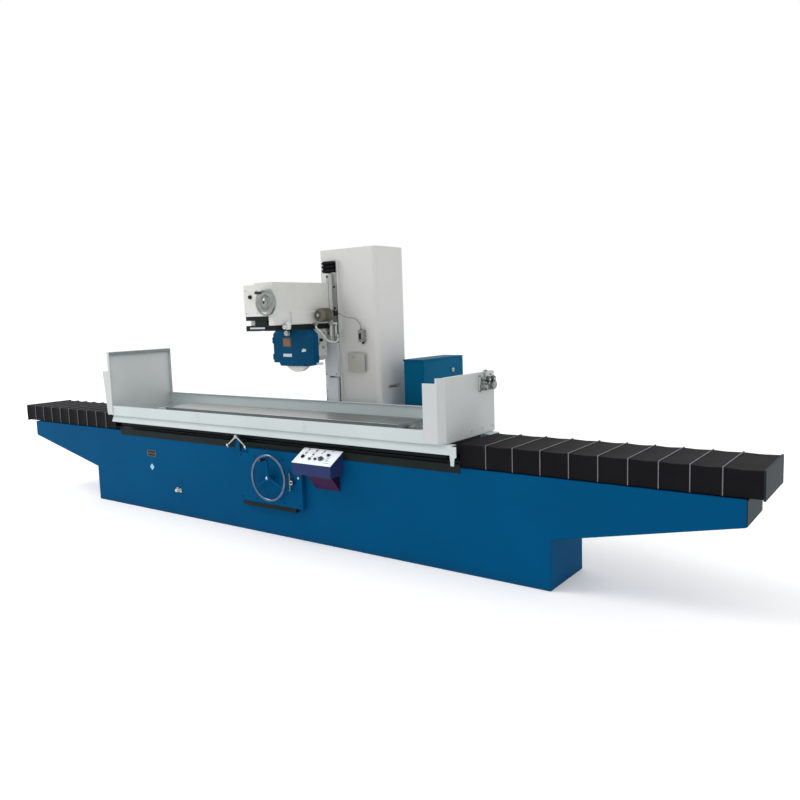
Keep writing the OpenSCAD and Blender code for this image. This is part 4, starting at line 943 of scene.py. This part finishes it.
def make_cross_handwheel():
    """The dished handwheel with its graduated dial and black crank handle."""
    low = span("cross_handwheel")[0]
    r = 105
    at = Vector((low.x + r, span("saddle_box")[0].y - 6, low.z + r))
    place = facing(at, FRONT)
    wheel = Piece("cross_handwheel_disc")
    wheel.turned(TURNED_STEEL, [(11, -40), (11, 2)], place, 28)
    wheel.turned(DIAL_METAL, [(11, 0), (30, 0), (34, 10), (r - 26, 14), (r - 20, 8), (r - 3, 8), (r, 12),
                              (r, 28), (r - 3, 34), (r - 10, 37), (r - 16, 36), (r - 21, 30), (r - 27, 26),
                              (60, 24), (42, 25), (38, 30), (11, 32)], place, 72, ring=True)
    wheel.turned(DIAL_METAL, [(11, 32), (33, 30), (33, 34), (26, 40), (14, 44), (11, 44)], place, 48,
                 ring=True)
    wheel.turned(BLACK_STEEL, [(12, 40), (12, 45), (9, 47)], place, 6)
    for k in range(40):
        size = 7 if k % 5 == 0 else 4
        tick = turned_by(place, k, 40)
        wheel.block(DESK_INK, (r - 13 - size / 2, -0.45, 36.2), (r - 13 + size / 2, 0.45, 37.2), 0.1, 1, tick)
    for k in range(30):
        rib = turned_by(place, k, 30)
        wheel.block(GREY_CAST, (r - 6, -3.5, 12), (r - 0.5, 3.5, 32), 1.2, 2, rib)
        wheel.block(GREY_CAST, (44, -1.5, 23), (62, 1.5, 26.5), 0.8, 1, rib)
    grip = place @ Matrix.Translation((-r * 0.22, r * 0.72, 24))
    wheel.turned(TURNED_STEEL, [(10, 0), (10, 4), (6, 6), (6, 24)], grip, 24)
    wheel.turned(PHENOLIC, [(9, 22), (11, 26), (10, 40), (12, 60), (13, 74), (11, 81), (5, 84)], grip,
                 28)
    wheel.made("cross_wheel", ["cross_handwheel"], "cast_alloy")

    front = span("saddle_box")[0].y + 22
    bezel = Piece("saddle_front_details")
    ring = facing((at.x, front, at.z), FRONT)
    bezel.turned(DIAL_METAL, [(26, 0), (48, 0), (48, 6), (44, 9), (44, 17), (38, 22), (26, 22)], ring, 48,
                 ring=True)
    plug = facing((at.x - 222, front, at.z + 49), FRONT)
    bezel.turned(BLACK_STEEL, [(17, 0), (17, 4), (14, 8), (14, 16), (10, 19)], plug, 28)
    box_low, box_high = span("saddle_box")
    for x in (box_low.x + 22, at.x - 150):
        for z in (box_low.z + 100, box_high.z - 60):
            bezel.screw((x, front, z), FRONT, 5, ZINC, 3)
    bezel.made("saddle", [], "satin_steel")
    trim = Piece("cross_rail_strip")
    rail_low = span("cross_rails")[0]
    y = rail_low.y + 6
    trim.block(LABEL_PALE, (box_low.x + 45, y - 1, rail_low.z + 16), (box_low.x + 215, y + 8,
                                                                      rail_low.z + 30), 1.5)
    trim.made("saddle", [], "satin_steel")


def make_feed_motor():
    """The ribbed rapid traverse motor, its terminal box and its bracket."""
    low, high = span("feed_motor")
    x, z = low.x + 68, (low.z + high.z) / 2
    y0 = low.y
    motor = Piece("feed_motor_body")
    place = facing((x, y0, z), BACK)
    motor.turned(MOTOR_SKIN, [(22, 0), (36, 4), (47, 11), (54, 22), (56, 34), (55, 36), (52, 37), (52, 116),
                              (56, 118), (58, 121), (58, 132), (50, 134)], place, 56)
    for k in range(32):
        turn = turned_by(place, k, 32)
        motor.block(MOTOR_SKIN, (51, -1.4, 38), (57.5, 1.4, 114), 0.6, 1, turn)
    for k in range(24):
        turn = turned_by(place, k, 24)
        motor.block(BLACK_STEEL, (18, -1.6, 0.2), (34, 1.6, 2.6), 0.4, 1, turn)
    motor.turned(LABEL_PALE, [(11, -1.5), (11, 2)], place, 24)
    motor.block(MOTOR_SKIN, (82, y0 + 134, z - 42), (x - 10, high.y, z + 42), 5, 3)
    motor.block(MOTOR_SKIN, (82, y0 + 60, z - 14), (x - 30, y0 + 120, z + 14), 3)
    motor.block(BLACK_STEEL, (x - 20, high.y - 46, z - 10), (x + 36, high.y - 2, z + 34), 5, 3)
    motor.turned(BLACK_STEEL, [(9, 0), (9, 7), (7, 9), (5, 14)],
                 facing((x + 15, high.y - 4, z + 13), (0.3, 1, 0)), 20)
    motor.made("saddle", ["feed_motor"], "motor_paint")


def make_slide_details():
    """The gib strip and the screwed band."""
    low, high = span("saddle_slide")
    strip = Piece("gib_strip")
    x0, x1 = high.x - 26, high.x - 3
    for z0, z1 in ((low.z + 70, low.z + 150), (1800, high.z - 10)):
        strip.block(WAY_STEEL, (x0, low.y - 6, z0), (x1, low.y, z1), 1.5)
        steps = max(1, int((z1 - z0) / 90))
        for k in range(steps + 1):
            z = z0 + 18 + k * (z1 - z0 - 36) / steps
            strip.screw(((x0 + x1) / 2, low.y - 6, z), FRONT, 8, BLACK_STEEL, 6)
    strip.made("saddle", [], "ground_iron")
    cover_low, cover_high = span("upper_way_cover")
    band = Piece("cover_bands")
    band.block(COVER_GREY, (cover_low.x + 1, cover_low.y - 2, cover_low.z + 6),
               (cover_high.x - 1, cover_low.y, cover_low.z + 30), 0.8)
    for x in (cover_low.x + 14, cover_high.x - 14):
        band.screw((x, cover_low.y - 2, cover_low.z + 18), FRONT, 5, BLACK_STEEL, 3)
    band.made("saddle", [], "satin_steel")


def make_coolant_lines():
    """The coolant cock at the saddle's edge, the rising pipes and the pale hose."""
    edge = span("saddle_box")[1].x - 12
    pipes = Piece("coolant_pipework")
    pipes.rod(PIPE_WHITE, [(92, 462, 1554), (92, 462, 1672)], 11, 20)
    pipes.rod(PIPE_WHITE, [(128, 486, 1554), (128, 486, 1690)], 9, 18)
    for x, y, r in ((92, 462, 15), (128, 486, 12)):
        for z in (1560, 1656):
            pipes.turned(ZINC, [(r, 0), (r, 12), (r - 2, 14)], standing((x, y, z)), 6)
    pipes.block(PIPE_WHITE, (80, 450, 1672), (142, 496, 1690), 3)
    pipes.block(PIPE_WHITE, (76, 484, 1672), (82, 496, 1690), 1)
    pipes.turned(ZINC, [(13, 0), (13, 24), (10, 28)], standing((160, 470, 1562)), 24)
    pipes.block(ZINC, (137, 478, 1574), (172, 490, 1588), 2)
    pipes.block(ZINC, (edge, 258, 1668), (107, 282, 1689), 2)
    cock = standing((100, -60, 1648))
    pipes.turned(PIPE_WHITE, [(17, 0), (21, 6), (25, 20), (25, 44), (20, 50), (20, 56), (14, 62), (0, 64)],
                 cock, 36)
    pipes.turned(PIPE_WHITE, [(12, 0), (12, 34), (17, 36), (17, 44), (11, 48)],
                 facing((100, -64, 1668), FRONT), 28)
    pipes.rod(PIPE_WHITE, [(edge, -60, 1673), (100, -60, 1673)], 11, 20)
    pipes.made("saddle", ["coolant_pipes"], "white_plastic")

    route = [(96, 270, 1666), (97, 271, 1655), (103, 280, 1641), (112, 295, 1625), (124, 318, 1595),
             (130, 338, 1565), (134, 366, 1541), (142, 402, 1528), (155, 440, 1524), (160, 466, 1536),
             (160, 470, 1556)]
    line = smooth_path(route, 6)
    hose = Piece("coolant_hose_tube")
    hose.rod(HOSE_WHITE, line, 9, 18)
    thing = hose.made("saddle", ["coolant_hose"], "white_plastic", 60)


# ---------------------------------------------------------------- pieces on the wheelhead

def make_wheelhead_details():
    """Cover screws, blank labels, the clamping knob, the fittings on the head's side and the coolant nozzle.
    """
    low, high = span("guard_cover")
    front = 200
    labels = Piece("guard_labels")
    x, z = -225, 1495
    labels.block(LABEL_BROWN, (x, front - 1.4, z), (x + 98, front, z + 78), 0.6)
    labels.block(LABEL_ORANGE, (x + 7, front - 2.0, z + 7), (x + 84, front - 1, z + 71), 0.5)
    labels.block(LABEL_PALE, (x - 2, front - 1.6, z - 84), (x + 98, front, z - 58), 0.6)
    labels.slab(LABEL_PALE, [(0, 0), (48, 4), (52, 22), (22, 30), (6, 20)], 0, 1.6, 0.5,
                place=facing((-12, front, 1452), FRONT))
    labels.made("guard_door", [], "face_white")
    screws = Piece("guard_cover_screws")
    middle_x, middle_z = low.x + 250, high.z - 195
    for sx, sz in ((-234, 130), (40, 182), (196, 110), (196, 0), (196, -86), (-234, -70), (-150, -98),
                   (0, -98),
                   (130, -98)):
        screws.screw((middle_x + sx, front, middle_z + sz), FRONT, 7, GUARD_BLUE, 4)
    screws.made("guard_door", [], "satin_steel")
    knob = Piece("cover_clamp_knob")
    at = facing((-150, front - 8, 1612), FRONT)
    knob.lobed(PIPE_WHITE, 22, 2.4, 6, 60, 2, 28, (3, 3), at)
    knob.turned(PIPE_WHITE, [(15, -0.2), (15, 2), (18, 4)], at, 36)
    knob.turned(ZINC, [(9, 27.5), (9, 29), (6, 30.5)], at, 24)
    knob.turned(ZINC, [(6, -7), (6, 0)], at, 18)
    knob.made("guard_door_knob", ["cover_knob"], "white_plastic")

    side = Piece("wheelhead_fittings")
    x = span("wheelhead_housing")[1].x
    for z, y in ((1560, 330), (1480, 400), (1600, 410)):
        side.screw((x, y, z), RIGHT, 12, ZINC, 9)
    cup = facing((x, 300, 1520), RIGHT)
    side.turned(DIAL_METAL, [(22, 0), (22, 6), (16, 9), (16, 26), (19, 28), (19, 40), (15, 44)], cup, 32)
    side.turned(BLACK_STEEL, [(14, 0), (14, 18), (11, 22)], facing((x, 370, 1545), RIGHT), 28)
    side.rod(ZINC, smooth_path([(x + 20, 300, 1520), (x + 30, 292, 1470), (x + 26, 280, 1420),
                                (x + 8, 276, 1390)], 5), 6, 14)
    side.block(DIAL_METAL, (x - 4, 272, 1376), (x + 34, 318, 1412), 5, 3)
    side.made("wheelhead", [], "satin_steel")
    nozzle = Piece("coolant_nozzle")
    g_low, g_high = span("wheel_guard")
    bottom = g_low.z + 12
    nozzle.block(GUARD_BLUE, (g_high.x - 60, 204, bottom - 4), (g_high.x - 12, 262, bottom + 14), 3)
    nozzle.slab(PIPE_WHITE, [(0, 0), (138, 8), (138, 30), (20, 20), (0, 10)], 0, 34, 2,
                place=facing((g_high.x - 92, 268, bottom - 10), FRONT))
    nozzle.made("wheelhead", [], "satin_steel")


# ---------------------------------------------------------------- the back of the machine

def make_back_details():
    """The back panel, a dark plate on the bed's end as painted shade, the slideway's screws and the anchor
    washers.
    """
    low, high = span("column")
    panel = Piece("column_back_panel")
    panel.block(COLUMN_GREY, (low.x + 62, high.y - 4, low.z + 122), (high.x - 62, high.y - 1, high.z - 122),
                1.2)
    for x in (low.x + 80, (low.x + high.x) / 2, high.x - 80):
        for k in range(6):
            z = low.z + 145 + k * (high.z - low.z - 290) / 5
            panel.screw((x, high.y - 1, z), BACK, 7, ZINC, 4)
    panel.made("bed", [], "light_paint")
    bed_low, bed_high = span("bed_casting")
    # A dark primed plate over the bed's right end face: painted shade under the bellows' end plate.
    cap = Piece("bed_end_painted_shade_plate")
    cap.block(PLATE_STEEL, (bed_high.x - 0.5, bed_low.y + 3, 574), (bed_high.x + 3, bed_low.y + 397, 718), 1)
    cap.made("bed", [], "bed_paint")
    dots = Piece("slideway_screws")
    ways_low, ways_high = span("column_ways")
    for x in (ways_low.x + 25, ways_high.x - 25):
        for k in range(6):
            dots.screw((x, ways_low.y + 2, 1090 + k * 180), FRONT, 9, BLACK_STEEL, 4)
    dots.made("bed", [], "ground_iron")
    nuts = Piece("anchor_nuts")
    base_low, base_high = span("rear_base")
    for side in (-1, 1):
        at = standing(((base_low.x + base_high.x) / 2 + side * 350, base_high.y - 35, 30))
        nuts.turned(ZINC, [(14.5, 0), (26, 0), (26, 3), (14.5, 3)], at, 28, ring=True)
    nuts.made("bed", [], "satin_steel")


make_bellows()
make_column_bellows()
make_bed_fittings()
make_junction_box()
make_cable()
make_cabinet_details()
make_desk()
make_levers()
make_manifold()
make_table_details()
make_cross_handwheel()
make_feed_motor()
make_slide_details()
make_coolant_lines()
make_wheelhead_details()
make_back_details()


# ---------------------------------------------------------------- stage, light and camera

def make_floor():
    """A wide plain floor."""
    data = bpy.data.meshes.new("floor")
    reach = 60
    data.from_pydata([(-reach, -reach, 0), (reach, -reach, 0), (reach, reach, 0), (-reach, reach, 0)], [],
                     [(0, 1, 2, 3)])
    data.materials.append(FLOOR)
    floor = bpy.data.objects.new("floor", data)
    bpy.context.scene.collection.objects.link(floor)


def lamp(name, at, aim, size, power):
    """A square soft box that looks at a point."""
    data = bpy.data.lights.new(name, "AREA")
    data.size, data.energy = size, power
    thing = bpy.data.objects.new(name, data)
    thing.location = at
    thing.rotation_euler = (Vector(aim) - Vector(at)).to_track_quat("-Z", "Y").to_euler()
    bpy.context.scene.collection.objects.link(thing)


def make_camera(at, yaw, pitch, roll, lens):
    """A level-ish camera, turned left by yaw, down by pitch and tilted by roll, in degrees."""
    a, e, r = (math.radians(v) for v in (yaw, pitch, roll))
    ahead = Vector((-math.sin(a) * math.cos(e), math.cos(a) * math.cos(e), -math.sin(e)))
    right = Vector((math.cos(a), math.sin(a), 0))
    up = right.cross(ahead)
    x = right * math.cos(r) - up * math.sin(r)
    y = right * math.sin(r) + up * math.cos(r)
    data = bpy.data.cameras.new("camera")
    data.lens, data.sensor_width, data.clip_end = lens, 36, 200
    camera = bpy.data.objects.new("camera", data)
    camera.matrix_world = Matrix.Translation(Vector(at)) @ Matrix((x, y, -ahead)).transposed().to_4x4()
    bpy.context.scene.collection.objects.link(camera)
    bpy.context.scene.camera = camera


make_camera(at=(4.373, -4.404, 1.75), yaw=36.274, pitch=6.594, roll=1.83, lens=33.79)
make_floor()
lamp("key_soft_box", (-13, -7, 15), (0, 0, 0.8), 8, 1500)
sky = bpy.data.worlds.new("studio")
sky.use_nodes = True
sky.node_tree.nodes["Background"].inputs["Color"].default_value = (1, 1, 1, 1)
sky.node_tree.nodes["Background"].inputs["Strength"].default_value = 1.0
bpy.context.scene.world = sky
bpy.context.scene.view_settings.view_transform = "Standard"
